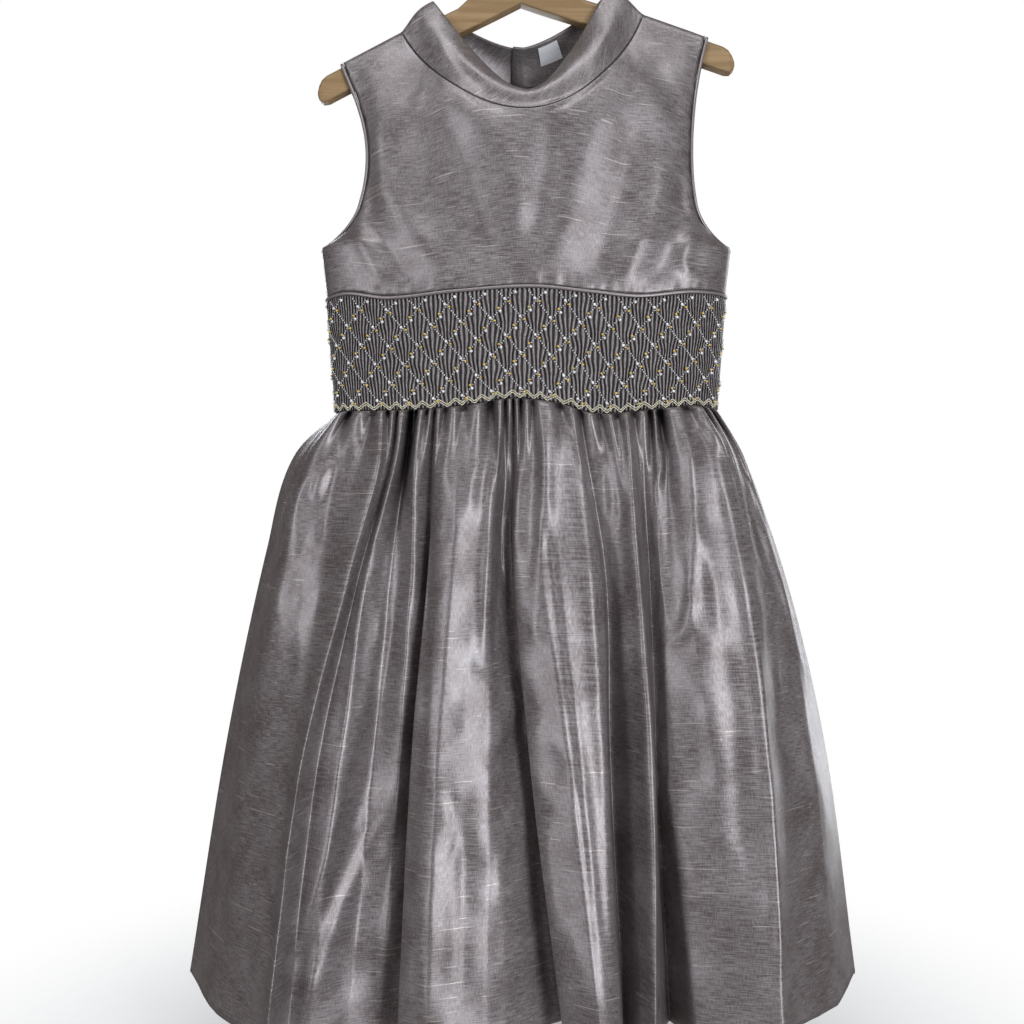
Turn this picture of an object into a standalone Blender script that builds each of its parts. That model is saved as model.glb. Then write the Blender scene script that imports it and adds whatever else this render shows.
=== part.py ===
"""A girl's sleeveless party dress with a smocked waist, hung on a plain wooden hanger.

Metres, +Z up. The front faces -Y and the origin is where a rail carries the hanger's hook.
The hanger hangs a little askew, so the shoulders follow it while the skirt hangs level.
Every panel of cloth is a wall of even thickness, and its shape is worked out from the
garment's widths, depths and lengths below.
"""

from collections import namedtuple
from math import cos, pi, radians, sin, tan

import bmesh
import bpy
import numpy as np
from mathutils import Matrix, Vector

# Cloth and seams
CLOTH = 0.0012
COLLAR_CLOTH = 0.0018
SEAM_GAP = 0.0003
PIPING_RADIUS = 0.0014
PIPING_SINK = 0.0004
PIPING_GAP = 0.0007

# Hanger
TILT = radians(4.2)
ARM_HALF_THICKNESS = 0.0055
ARM_HEIGHT = 0.0212
ARM_TIP_X = 0.1628
ARM_REST_GAP = 0.0014
ARM_DIP = 0.0028
ARM_CROWN_Z = -0.060
HOOK_INNER_RADIUS = 0.018
HOOK_WIRE_RADIUS = 0.0019

# Bodice
NECK_HALF_WIDTH = 0.0965
NECK_Z = -0.110
NECK_FRONT_DROP = 0.079
NECK_BACK_DROP = 0.039
SHOULDER_TIP_X = 0.144
SHOULDER_SLOPE = tan(radians(23.5))
SHOULDER_REACH = 0.0082
ARMHOLE_GAP = 0.007
UNDERARM_X = 0.1635
UNDERARM_Z = -0.291
WAIST_TOP_Z = -0.330
WAIST_TOP_X = 0.1588
WAIST_Z = -0.420
WAIST_X = 0.152
LEVEL_Z = -0.290
SHOULDER_Z = -0.150
LEVEL_SWAY = 0.0112
HEM_SWAY = 0.0085

# Collar
COLLAR_TOP_HALF_WIDTH = 0.070
COLLAR_TOP_Z = -0.087
COLLAR_TOP_FRONT_Z = -0.170
COLLAR_TOP_BACK_Z = -0.122
COLLAR_TOP_REACH = 0.016

# Back opening
OVERLAP_LEFT_X = 0.012
OVERLAP_RIGHT_X = -0.011
BODICE_LAP_STEP = 0.00085
COLLAR_LAP_STEP = 0.0014
BUTTON_RADIUS = 0.0056
BUTTON_HEIGHT = 0.0034
BUTTON_GAP = 0.0004
BUTTON_SIDES = 14

# Smocking
PLEATS = 90
PLEAT_RISE = 0.0011
PLEAT_WANDER = 0.0007

# Skirt
SKIRT_LENGTH = 0.466
GATHER_RISE = 0.0036
GATHER_FADE = 0.075

TAUPE = (0.24, 0.21, 0.20)
DARK_TAUPE = (0.16, 0.14, 0.14)
PIPING_TAUPE = (0.36, 0.33, 0.31)
OAK = (0.55, 0.37, 0.19)
STEEL = (0.62, 0.62, 0.63)
WHITE = (0.85, 0.85, 0.86)

# Half widths of the armhole's edge, down from the shoulder's tip to the underarm
ArmholePoint = namedtuple("ArmholePoint", "z half_width")
ARMHOLE = (
    ArmholePoint(-0.131, 0.1440),
    ArmholePoint(-0.160, 0.1348),
    ArmholePoint(-0.185, 0.1290),
    ArmholePoint(-0.210, 0.1260),
    ArmholePoint(-0.235, 0.1265),
    ArmholePoint(-0.252, 0.1290),
    ArmholePoint(-0.264, 0.1325),
    ArmholePoint(-0.274, 0.1395),
    ArmholePoint(-0.283, 0.1500),
    ArmholePoint(-0.291, 0.1635),
)

# How far the centre front stands forward of the side seams, by height
Reach = namedtuple("Reach", "z front back")
BODICE_REACH = (
    Reach(-0.110, 0.020, 0.020),
    Reach(-0.150, 0.032, 0.034),
    Reach(-0.190, 0.038, 0.038),
    Reach(-0.250, 0.041, 0.039),
    Reach(-0.330, 0.044, 0.040),
    Reach(-0.420, 0.045, 0.042),
)

# The seam over the smocking and the wave stitching under it, as rises above level, by x
SeamPoint = namedtuple("SeamPoint", "x rise")
TOP_SEAM = (
    SeamPoint(-0.164, -0.0030),
    SeamPoint(-0.142, 0.0005),
    SeamPoint(-0.108, -0.0045),
    SeamPoint(-0.055, -0.0005),
    SeamPoint(0.005, 0.0030),
    SeamPoint(0.050, -0.0010),
    SeamPoint(0.085, -0.0038),
    SeamPoint(0.130, 0.0012),
    SeamPoint(0.164, 0.0010),
)
BOTTOM_SEAM = (
    SeamPoint(-0.152, 0.0000),
    SeamPoint(-0.080, 0.0000),
    SeamPoint(-0.045, 0.0030),
    SeamPoint(-0.010, 0.0080),
    SeamPoint(0.025, 0.0040),
    SeamPoint(0.050, -0.0030),
    SeamPoint(0.095, 0.0000),
    SeamPoint(0.135, 0.0040),
    SeamPoint(0.152, 0.0020),
)

# Fold lines down the skirt: distance across from the centre line at the waist, just under it,
# at the hip, the knee and the hem, then how far out the line stands at the last four
Fold = namedtuple("Fold", "name waist upper hip knee hem upper_out hip_out knee_out hem_out")
FRONT_FOLDS = (
    Fold("left_seam", -0.152, -0.1845, -0.2040, -0.2350, -0.2660, 0.000, 0.000, 0.000, 0.000),
    Fold("left_side", -0.142, -0.165, -0.181, -0.205, -0.228, 0.027, 0.034, 0.048, 0.064),
    Fold("left_crease", -0.128, -0.136, -0.150, -0.168, -0.187, 0.036, 0.046, 0.078, 0.104),
    Fold("left_crest", -0.110, -0.110, -0.127, -0.159, -0.180, 0.051, 0.063, 0.095, 0.118),
    Fold("left_hollow", -0.100, -0.103, -0.121, -0.150, -0.170, 0.040, 0.049, 0.074, 0.092),
    Fold("left_second_crest", -0.093, -0.098, -0.115, -0.134, -0.156, 0.047, 0.057, 0.080, 0.094),
    Fold("left_dark_face", -0.085, -0.090, -0.100, -0.112, -0.128, 0.041, 0.048, 0.064, 0.078),
    Fold("left_panel_crest", -0.077, -0.082, -0.084, -0.092, -0.106, 0.047, 0.057, 0.070, 0.074),
    Fold("under_left_pleat", -0.070, -0.072, -0.070, -0.078, -0.086, 0.040, 0.042, 0.054, 0.062),
    Fold("left_pleat_edge", -0.063, -0.067, -0.071, -0.082, -0.090, 0.047, 0.057, 0.084, 0.106),
    Fold("left_pleat_crest", -0.048, -0.050, -0.052, -0.062, -0.068, 0.054, 0.067, 0.098, 0.122),
    Fold("left_pleat_face", -0.023, -0.022, -0.024, -0.024, -0.028, 0.052, 0.063, 0.092, 0.114),
    Fold("left_pleat_end", -0.014, -0.014, -0.0165, -0.004, 0.006, 0.043, 0.046, 0.072, 0.092),
    Fold("under_middle_pleat", -0.010, -0.009, -0.0085, 0.008, 0.032, 0.040, 0.041, 0.058, 0.070),
    Fold("middle_pleat_edge", -0.004, -0.004, -0.007, 0.004, 0.028, 0.049, 0.057, 0.084, 0.104),
    Fold("middle_pleat_crest", 0.010, 0.013, 0.013, 0.032, 0.053, 0.056, 0.068, 0.102, 0.124),
    Fold("middle_pleat_end", 0.030, 0.040, 0.056, 0.060, 0.068, 0.052, 0.063, 0.094, 0.114),
    Fold("middle_hollow", 0.044, 0.050, 0.062, 0.065, 0.074, 0.041, 0.045, 0.060, 0.076),
    Fold("right_slope", 0.060, 0.068, 0.072, 0.076, 0.080, 0.047, 0.053, 0.078, 0.096),
    Fold("right_crest", 0.074, 0.080, 0.086, 0.092, 0.091, 0.052, 0.063, 0.096, 0.118),
    Fold("right_hollow", 0.088, 0.091, 0.096, 0.099, 0.110, 0.041, 0.048, 0.062, 0.052),
    Fold("right_pleat_edge", 0.098, 0.101, 0.104, 0.106, 0.124, 0.046, 0.056, 0.078, 0.094),
    Fold("right_pleat_face", 0.116, 0.122, 0.121, 0.136, 0.152, 0.049, 0.061, 0.088, 0.106),
    Fold("right_pleat_crest", 0.132, 0.152, 0.167, 0.176, 0.181, 0.044, 0.056, 0.088, 0.116),
    Fold("right_crease", 0.138, 0.160, 0.178, 0.188, 0.194, 0.035, 0.044, 0.072, 0.098),
    Fold("right_side", 0.145, 0.170, 0.194, 0.218, 0.234, 0.024, 0.028, 0.044, 0.060),
    Fold("right_seam", 0.152, 0.1750, 0.2030, 0.2395, 0.2660, 0.000, 0.000, 0.000, 0.000),
)
BACK_FOLDS = (
    Fold("left_seam", 0.152, 0.1750, 0.2030, 0.2395, 0.2660, 0.000, 0.000, 0.000, 0.000),
    Fold("left_side", 0.143, 0.170, 0.192, 0.219, 0.237, 0.022, 0.028, 0.040, 0.052),
    Fold("left_crest", 0.125, 0.142, 0.160, 0.184, 0.197, 0.046, 0.056, 0.078, 0.098),
    Fold("left_hollow", 0.110, 0.124, 0.140, 0.160, 0.172, 0.038, 0.044, 0.060, 0.070),
    Fold("left_face", 0.096, 0.108, 0.122, 0.134, 0.146, 0.045, 0.054, 0.076, 0.096),
    Fold("left_face_crest", 0.080, 0.088, 0.098, 0.111, 0.118, 0.051, 0.062, 0.090, 0.112),
    Fold("left_inner_hollow", 0.066, 0.072, 0.080, 0.091, 0.098, 0.040, 0.046, 0.062, 0.076),
    Fold("left_inner_face", 0.052, 0.056, 0.062, 0.069, 0.078, 0.048, 0.056, 0.082, 0.098),
    Fold("left_inner_crest", 0.036, 0.037, 0.040, 0.044, 0.050, 0.053, 0.064, 0.094, 0.116),
    Fold("middle_hollow", 0.018, 0.019, 0.021, 0.022, 0.026, 0.042, 0.048, 0.066, 0.078),
    Fold("middle_face", 0.002, 0.002, 0.002, 0.000, 0.004, 0.051, 0.060, 0.086, 0.102),
    Fold("middle_crest", -0.016, -0.017, -0.018, -0.023, -0.026, 0.054, 0.066, 0.098, 0.120),
    Fold("right_inner_hollow", -0.034, -0.036, -0.040, -0.045, -0.050, 0.042, 0.048, 0.066, 0.080),
    Fold("right_inner_face", -0.050, -0.054, -0.060, -0.066, -0.074, 0.048, 0.056, 0.084, 0.100),
    Fold("right_inner_crest", -0.066, -0.072, -0.080, -0.090, -0.098, 0.051, 0.062, 0.092, 0.114),
    Fold("right_hollow", -0.082, -0.090, -0.100, -0.115, -0.124, 0.040, 0.046, 0.062, 0.074),
    Fold("right_face", -0.098, -0.110, -0.122, -0.139, -0.152, 0.046, 0.054, 0.076, 0.094),
    Fold("right_crest", -0.116, -0.134, -0.151, -0.173, -0.187, 0.047, 0.058, 0.080, 0.100),
    Fold("right_side", -0.141, -0.168, -0.188, -0.214, -0.233, 0.026, 0.030, 0.042, 0.056),
    Fold("right_seam", -0.152, -0.1845, -0.2040, -0.2350, -0.2660, 0.000, 0.000, 0.000, 0.000),
)

Button = namedtuple("Button", "z")
BUTTONS = (Button(-0.137), Button(-0.190), Button(-0.250), Button(-0.310), Button(-0.370))


# Small numeric helpers

def smoothstep(low, high, value):
    share = min(1.0, max(0.0, (value - low) / (high - low)))
    return share * share * (3 - 2 * share)


def mix(first, second, share):
    return first + (second - first) * share


def smooth_through(keys, values, at):
    """A value, or a row of values, between the keys, on a curve that turns smoothly at each of them."""
    at = min(keys[-1], max(keys[0], at))
    i = max(0, min(len(keys) - 2, int(np.searchsorted(keys, at)) - 1))
    slopes = [(values[k + 1] - values[k]) / (keys[k + 1] - keys[k]) for k in range(len(keys) - 1)]
    span = keys[i + 1] - keys[i]
    start = slopes[i] if i == 0 else (slopes[i - 1] + slopes[i]) / 2
    end = slopes[i] if i == len(slopes) - 1 else (slopes[i] + slopes[i + 1]) / 2
    s = (at - keys[i]) / span
    return (
        (2 * s**3 - 3 * s**2 + 1) * values[i]
        + (s**3 - 2 * s**2 + s) * span * start
        + (3 * s**2 - 2 * s**3) * values[i + 1]
        + (s**3 - s**2) * span * end
    )


def read_table(rows, key, column, at):
    """One column of a table at any value of its key column."""
    pairs = sorted((getattr(row, key), getattr(row, column)) for row in rows)
    return smooth_through([pair[0] for pair in pairs], [pair[1] for pair in pairs], at)


def lengths_along(line):
    return np.concatenate([[0], np.cumsum(np.linalg.norm(np.diff(np.array(line), axis=0), axis=1))])


def points_at_shares(line, shares):
    """Points at shares of the length of a line of points."""
    line = np.array(line, float)
    lengths = lengths_along(line)
    wanted = np.array(shares) * lengths[-1]
    return np.stack([np.interp(wanted, lengths, line[:, i]) for i in range(line.shape[1])], axis=1)


# The garment's form

def hung(x, y, z):
    """A point of the upright garment where it hangs: the shoulders lean with the hanger."""
    leaning = smoothstep(LEVEL_Z, SHOULDER_Z, z)
    level_sway = mix(HEM_SWAY, LEVEL_SWAY, smoothstep(2 * WAIST_Z - WAIST_TOP_Z, WAIST_Z, z))
    sway = mix(level_sway, -z * sin(TILT), leaning)
    rise = leaning * (x * sin(TILT) - z * (1 - cos(TILT)))
    return x * mix(1, cos(TILT), leaning) + sway, y, z + rise


def side_x(z):
    """Half width of the bodice at a height: its armhole edge above the underarm, its side seam below."""
    if z >= UNDERARM_Z:
        return read_table(ARMHOLE, "z", "half_width", z)
    if z >= WAIST_TOP_Z:
        return mix(WAIST_TOP_X, UNDERARM_X, (z - WAIST_TOP_Z) / (UNDERARM_Z - WAIST_TOP_Z))
    return mix(WAIST_X, WAIST_TOP_X, (z - WAIST_Z) / (WAIST_TOP_Z - WAIST_Z))


def shoulder_z(x):
    """Height of the shoulder seam over a distance from the centre line."""
    return NECK_Z - (abs(x) - NECK_HALF_WIDTH) * SHOULDER_SLOPE


def bulge(share, power):
    """From 1 in the middle to 0 at the rim, for a share from 0 to 1 of the way out."""
    return (1 - min(1.0, abs(share)) ** power) ** (1 / power)


def body_reach(x, z, side):
    """How far the bodice's outer face stands from the plane of the side seams, on the front or back."""
    below = max(0.0, shoulder_z(x) - z)
    edge = side_x(z)
    above_underarm = smoothstep(UNDERARM_Z, UNDERARM_Z + 0.040, z)
    over_arm = SHOULDER_REACH * bulge(max(0.0, 1 - below / SHOULDER_REACH), 3.2)
    over_arm *= bulge(x / (edge + 0.030 * above_underarm), 7)
    full = read_table(BODICE_REACH, "z", side, z) - SHOULDER_REACH
    crown = bulge(x / (edge + ARMHOLE_GAP * above_underarm), 2.2)
    return over_arm + full * crown * smoothstep(0.0, 0.085, below)


def neckline_z(x, drop):
    """Height of the neck seam over a distance from the centre line."""
    return NECK_Z - drop * (1 - min(1.0, abs(x) / NECK_HALF_WIDTH) ** 2) ** 0.85


# Mesh helpers

def new_material(name, colour, roughness, metallic=0.0):
    material = bpy.data.materials.new(name)
    material.use_nodes = True
    shader = material.node_tree.nodes["Principled BSDF"]
    shader.inputs["Base Color"].default_value = (*colour, 1.0)
    shader.inputs["Roughness"].default_value = roughness
    shader.inputs["Metallic"].default_value = metallic
    return material


def new_object(name, bm, material, collection):
    bmesh.ops.recalc_face_normals(bm, faces=bm.faces)
    mesh = bpy.data.meshes.new(name)
    bm.to_mesh(mesh)
    bm.free()
    mesh.shade_smooth()
    mesh.set_sharp_from_angle(angle=radians(50))
    mesh.materials.append(material)
    obj = bpy.data.objects.new(name, mesh)
    collection.objects.link(obj)
    return obj


def shaped_grid(points):
    """A bmesh grid whose vertices are moved to rows of points, the bottom row first."""
    rows, columns = len(points), len(points[0])
    bm = bmesh.new()
    bmesh.ops.create_grid(bm, x_segments=columns - 1, y_segments=rows - 1, size=1)
    bm.verts.ensure_lookup_table()
    for r, row in enumerate(points):
        for c, point in enumerate(row):
            bm.verts[r * columns + c].co = point
    return bm


def seams(points, left=0, right=0, top=False, bottom=False, shoulders=()):
    """Which ways a wall's thickness may run at each point. At a side or shoulder seam, which lies
    in the plane between front and back, it doesn't run through that plane, and at a level seam it
    doesn't run up or down. left and right are how many rows from the bottom have a side seam."""
    free = np.ones(np.shape(points))
    free[:left, 0, 1] = 0
    free[:right, -1, 1] = 0
    if top:
        free[-1, :, 2] = 0
    if bottom:
        free[0, :, 2] = 0
    for c in shoulders:
        free[-1, c] = (1, 0, 1)
    return free


def inside_of(points, free, thickness):
    """The wall's inner points: the outer ones moved in along the cloth's normal."""
    points = np.array(points, float)
    normal = np.cross(np.gradient(points, axis=1), np.gradient(points, axis=0)) * free
    return points - thickness * normal / np.linalg.norm(normal, axis=2)[:, :, None]


def cloth_wall(name, points, free, material, collection, thickness=CLOTH):
    """A closed wall of cloth whose outer face runs through rows of points, bottom row first."""
    inner = inside_of(points, free, thickness).reshape(-1, 3)
    bm = shaped_grid(points)
    place = bm.verts.layers.int.new("place")
    for i, vert in enumerate(bm.verts):
        vert[place] = i
    made = bmesh.ops.extrude_face_region(bm, geom=bm.faces[:], use_keep_orig=True)
    for vert in made["geom"]:
        if isinstance(vert, bmesh.types.BMVert):
            vert.co = inner[vert[place]]
    bm.verts.layers.int.remove(place)
    return new_object(name, bm, material, collection)


def tube_along(name, path, radius, material, collection, sides, closed=False):
    """A round cord or wire on a path: a curve with a bevel, capped unless it is a ring."""
    curve = bpy.data.curves.new(name, "CURVE")
    curve.dimensions = "3D"
    curve.bevel_depth = radius
    curve.bevel_resolution = sides
    curve.use_fill_caps = not closed
    spline = curve.splines.new("POLY")
    spline.points.add(len(path) - 1)
    for point, place in zip(spline.points, path):
        point.co = (*place, 1.0)
    spline.use_cyclic_u = closed
    curve.materials.append(material)
    obj = bpy.data.objects.new(name, curve)
    collection.objects.link(obj)
    return obj


def panel_points(tops, bottoms, left, right):
    """Rows of points in the flat between four edges: top and bottom have one point for each
    column, left and right one for each row."""
    tops, bottoms, left, right = (np.array(edge, float) for edge in (tops, bottoms, left, right))
    across = lengths_along(tops) / lengths_along(tops)[-1]
    up = lengths_along(left) / lengths_along(left)[-1]
    rows = []
    for r, v in enumerate(up):
        row = mix(bottoms, tops, v)
        row = row + np.outer(1 - across, left[r] - mix(bottoms[0], tops[0], v))
        rows.append(row + np.outer(across, right[r] - mix(bottoms[-1], tops[-1], v)))
    return rows


# Bodice

SIDE_ROWS = 2
BACK_SIDE_ROWS = 4
ARMHOLE_SHARES = (0, 0.07, 0.14, 0.21, 0.29, 0.39, 0.51, 0.63, 0.75, 0.85, 0.92, 0.965, 0.99, 1)
SHOULDER_COLUMNS = 4
NECK_STEPS = 8
NECK_SHARES = [sin(pi / 2 * k / NECK_STEPS) for k in range(-NECK_STEPS, NECK_STEPS + 1)]


def side_edge(sign, bottom_z, side_rows):
    """Points up one side in the flat: the side seam, then the armhole to the shoulder's tip."""
    seam = [(sign * side_x(z), z) for z in np.linspace(bottom_z, UNDERARM_Z, side_rows + 1)[:-1]]
    hole = [(sign * side_x(z), z) for z in np.linspace(UNDERARM_Z, ARMHOLE[0].z, 80)]
    return np.array([*seam, *points_at_shares(hole, ARMHOLE_SHARES)])


def shoulder_points(sign):
    """Points along a shoulder seam from its tip to the neck, leaving out the neck point."""
    across = np.linspace(SHOULDER_TIP_X, NECK_HALF_WIDTH, SHOULDER_COLUMNS + 1)[:-1]
    return [(sign * x, shoulder_z(x)) for x in across]


def front_flat():
    """The front bodice in the flat, as rows of points."""
    neck = [share * NECK_HALF_WIDTH for share in NECK_SHARES]
    neck = [(x, neckline_z(x, NECK_FRONT_DROP)) for x in neck]
    tops = [*shoulder_points(-1), *neck, *shoulder_points(1)[::-1]]
    bottoms = []
    for x in np.linspace(-WAIST_TOP_X, WAIST_TOP_X, len(tops)):
        rise = read_table(TOP_SEAM, "x", "rise", x)
        bottoms.append((x, WAIST_TOP_Z + rise + PIPING_RADIUS + SEAM_GAP))
    left = side_edge(-1, bottoms[0][1], SIDE_ROWS)
    right = side_edge(1, bottoms[-1][1], SIDE_ROWS)
    return panel_points(tops, bottoms, left, right)


def back_flat(sign, lap_x):
    """Half of the back in the flat, from its side to the lapped edge at the centre."""
    neck = [(sign * share * NECK_HALF_WIDTH) for share in NECK_SHARES[:NECK_STEPS - 1:-1]] + [lap_x]
    tops = [*shoulder_points(sign), *((x, neckline_z(x, NECK_BACK_DROP)) for x in neck)]
    bottoms = [(x, WAIST_Z + SEAM_GAP) for x in np.linspace(sign * WAIST_X, lap_x, len(tops))]
    edge = side_edge(sign, WAIST_Z + SEAM_GAP, BACK_SIDE_ROWS)
    up = lengths_along(edge) / lengths_along(edge)[-1]
    lap = [(lap_x, mix(bottoms[-1][1], tops[-1][1], v)) for v in up]
    return panel_points(tops, bottoms, edge, lap)


def lap_offset(x, step):
    """How far a back edge stands out or in, where the halves of the back lap at the centre."""
    return step * (1 - smoothstep(0.012, 0.045, abs(x)))


def worn_rows(flat, side, step=0.0):
    """A flat panel given its depth and hung in its place."""
    sign = -1 if side == "front" else 1
    rows = []
    for row in flat:
        out = [max(SEAM_GAP / 2, body_reach(x, z, side) + lap_offset(x, step)) for x, z in row]
        rows.append([hung(x, sign * y, z) for (x, z), y in zip(row, out)])
    return np.array(rows)


def bodice(material, collection):
    """The front bodice and the two halves of the back, which lap at the centre, left over right."""
    front = worn_rows(front_flat(), "front")
    back_left = worn_rows(back_flat(-1, OVERLAP_LEFT_X), "back", BODICE_LAP_STEP)[:, ::-1]
    back_right = worn_rows(back_flat(1, OVERLAP_RIGHT_X), "back", -BODICE_LAP_STEP)
    columns = front.shape[1]
    ends = [*range(SHOULDER_COLUMNS + 1), *range(columns - SHOULDER_COLUMNS - 1, columns)]
    free = seams(front, SIDE_ROWS + 1, SIDE_ROWS + 1, top=True, bottom=True, shoulders=ends)
    cloth_wall("bodice_front", front, free, material, collection)
    last = back_left.shape[1] - 1
    ends = range(last - SHOULDER_COLUMNS, last + 1)
    free = seams(back_left, 0, BACK_SIDE_ROWS + 1, top=True, bottom=True, shoulders=ends)
    cloth_wall("bodice_back_left", back_left, free, material, collection)
    ends = range(SHOULDER_COLUMNS + 1)
    free = seams(back_right, BACK_SIDE_ROWS + 1, 0, top=True, bottom=True, shoulders=ends)
    cloth_wall("bodice_back_right", back_right, free, material, collection)
    return front, back_left, back_right


def beside_edge(rows, column, inner_column, first_row):
    """Points of a cord that lies along a panel's side edge, level with the cloth and just clear of it."""
    edge = rows[first_row:, column]
    along = np.gradient(edge, axis=0)
    along /= np.linalg.norm(along, axis=1)[:, None]
    off = edge - rows[first_row:, inner_column]
    off -= along * (off * along).sum(axis=1)[:, None]
    off /= np.linalg.norm(off, axis=1)[:, None]
    normal = np.cross(off, along)
    normal /= np.linalg.norm(normal, axis=1)[:, None]
    if column == 0:
        normal = -normal
    return edge + off * (PIPING_RADIUS + PIPING_GAP) - normal * PIPING_SINK


def armhole_pipings(front, back_left, back_right, material, collection):
    """A narrow rolled edge all round each armhole, in the panels' own line."""
    loops = (
        ("left", beside_edge(front, 0, 1, SIDE_ROWS), beside_edge(back_left, -1, -2, BACK_SIDE_ROWS)),
        ("right", beside_edge(front, -1, -2, SIDE_ROWS), beside_edge(back_right, 0, 1, BACK_SIDE_ROWS)),
    )
    for name, up_front, up_back in loops:
        top = (up_front[-1] + up_back[-1]) / 2
        bottom = (up_front[0] + up_back[0]) / 2
        ring = [bottom, *up_front[1:-1], top, *up_back[-2:0:-1]]
        tube_along(f"armhole_piping_{name}", ring, PIPING_RADIUS, material, collection, 1, closed=True)


# Collar

COLLAR_ROWS = 4


def collar_point(share, side, height):
    """A point on the collar's outer face. share is how far across it is, from -1 to 1, on the
    front or the back, and height is 0 at the neck seam and 1 at the fold along the top."""
    forward = (1 - abs(share) ** 2.6) ** (1 / 2.6)
    base_x = NECK_HALF_WIDTH * share
    base_z = neckline_z(base_x, NECK_FRONT_DROP if side == "front" else NECK_BACK_DROP)
    base_out = body_reach(base_x, base_z, side)
    top_middle = COLLAR_TOP_FRONT_Z if side == "front" else COLLAR_TOP_BACK_Z
    top_z = mix(top_middle, COLLAR_TOP_Z, abs(share) ** 1.5)
    top_out = COLLAR_TOP_REACH * forward**0.8
    swell = 0.0028 * sin(pi * height)
    x = mix(base_x - SEAM_GAP * share, COLLAR_TOP_HALF_WIDTH * share, height) + swell * share
    out = mix(base_out, top_out, height) + swell * forward
    return x, -out if side == "front" else out, mix(base_z, top_z, height) + swell * 0.6


def collar_place(share, side, height, step):
    """The same point hung in its place, stepped out or in where the collar laps at the back."""
    x, y, z = collar_point(share, side, height)
    return hung(x, y + lap_offset(x, step), z + SEAM_GAP)


def collar_stations():
    """Where the collar's columns stand, from its inner end at the centre back, round by the
    viewer's right and the front, to its outer end: share across, side and outward step."""
    back = NECK_SHARES[NECK_STEPS:]
    inner_end, outer_end = OVERLAP_RIGHT_X / NECK_HALF_WIDTH, OVERLAP_LEFT_X / NECK_HALF_WIDTH
    first = [(share, "back", -COLLAR_LAP_STEP) for share in (inner_end, *back[:-1])]
    front = [(share, "front", 0.0) for share in NECK_SHARES[::-1]]
    last = [(share, "back", COLLAR_LAP_STEP) for share in (*(-share for share in back[-2::-1]), outer_end)]
    return first + front + last


def collar(material, collection):
    """The stand collar: a bias band that leans in all round and laps at the centre back."""
    rows = []
    for height in np.linspace(0, 1, COLLAR_ROWS + 1):
        row = [collar_place(share, side, height, step) for share, side, step in collar_stations()]
        rows.append(row[::-1])
    return cloth_wall("collar", rows, seams(rows, bottom=True), material, collection, COLLAR_CLOTH)


# Piping and smocking

BAND_ROWS = 5
BAND_INSIDE_COLUMNS = 30
WAIST_PIPING_POINTS = 44


def band_point(share, drop, lift):
    """A point of the smocked band. share runs from the left seam to the right, drop from 0 at the
    piping to 1 at the wave stitching, and lift is the height of a pleat there."""
    level = mix(WAIST_TOP_Z - PIPING_RADIUS - SEAM_GAP, WAIST_Z, drop)
    x = side_x(level) * (0.42 * sin(pi * (share - 0.5)) + 0.58 * (2 * share - 1))
    rise = mix(read_table(TOP_SEAM, "x", "rise", x), read_table(BOTTOM_SEAM, "x", "rise", x), drop)
    out = max(SEAM_GAP / 2, body_reach(x, level, "front") + lift)
    return hung(x, -out, level + rise)


def waist_piping(material, collection):
    """The cord of self cloth between the bodice and the smocking, from side seam to side seam."""
    path = []
    for x in np.linspace(-WAIST_TOP_X, WAIST_TOP_X, 200):
        z = WAIST_TOP_Z + read_table(TOP_SEAM, "x", "rise", x)
        path.append(hung(x, -max(PIPING_RADIUS + SEAM_GAP, body_reach(x, z, "front")), z))
    path = points_at_shares(path, np.linspace(0, 1, WAIST_PIPING_POINTS))
    return tube_along("waist_piping", path, PIPING_RADIUS, material, collection, 1)


def smocked_band(material, collection):
    """The smocked insert: raised pleats, which wander a little, over a plain inside."""
    outer_rows = []
    for drop in np.linspace(1, 0, BAND_ROWS + 1):
        row = []
        for c in range(2 * PLEATS + 1):
            share = c / (2 * PLEATS)
            inset = min(1.0, c / 2, (2 * PLEATS - c) / 2)
            wander = PLEAT_WANDER * sin(2 * pi * (share * 13.3 + drop * 3.4)) * sin(pi * drop)
            lift = PLEAT_RISE * (c % 2) * inset
            row.append(band_point(share + inset * wander / (2 * WAIST_TOP_X), drop, lift))
        outer_rows.append(row)
    plain = [
        [band_point(c / BAND_INSIDE_COLUMNS, drop, 0.0) for c in range(BAND_INSIDE_COLUMNS + 1)]
        for drop in (1.0, 0.5, 0.0)
    ]
    inner_rows = inside_of(plain, seams(plain, 3, 3, top=True, bottom=True), CLOTH)[:, ::-1]
    bm = shaped_grid(outer_rows)
    inside = shaped_grid(inner_rows)
    inside_mesh = bpy.data.meshes.new("inside")
    inside.to_mesh(inside_mesh)
    inside.free()
    bm.from_mesh(inside_mesh)
    bpy.data.meshes.remove(inside_mesh)
    rims = [edge for edge in bm.edges if edge.is_boundary]
    bmesh.ops.bridge_loops(bm, edges=rims)
    bmesh.ops.triangulate(bm, faces=bm.faces)
    return new_object("smocked_band", bm, material, collection)


# Skirt

SAMPLES_PER_FOLD = 3
SKIRT_ROWS = (0, 0.012, 0.035, 0.07, 0.12, 0.20, 0.30, 0.43, 0.57, 0.71, 0.85, 1.0)
FOLD_STATIONS = (0.0, 0.10, 0.26, 0.58, 1.0)


def fold_line_at(fold, down, side):
    """Where a fold line stands at a share of the way down: its distance across and how far out."""
    places = np.array((
        (fold.waist, body_reach(fold.waist, WAIST_Z, side)),
        (fold.upper, fold.upper_out),
        (fold.hip, fold.hip_out),
        (fold.knee, fold.knee_out),
        (fold.hem, fold.hem_out),
    ))
    return smooth_through(FOLD_STATIONS, places, down)


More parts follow.
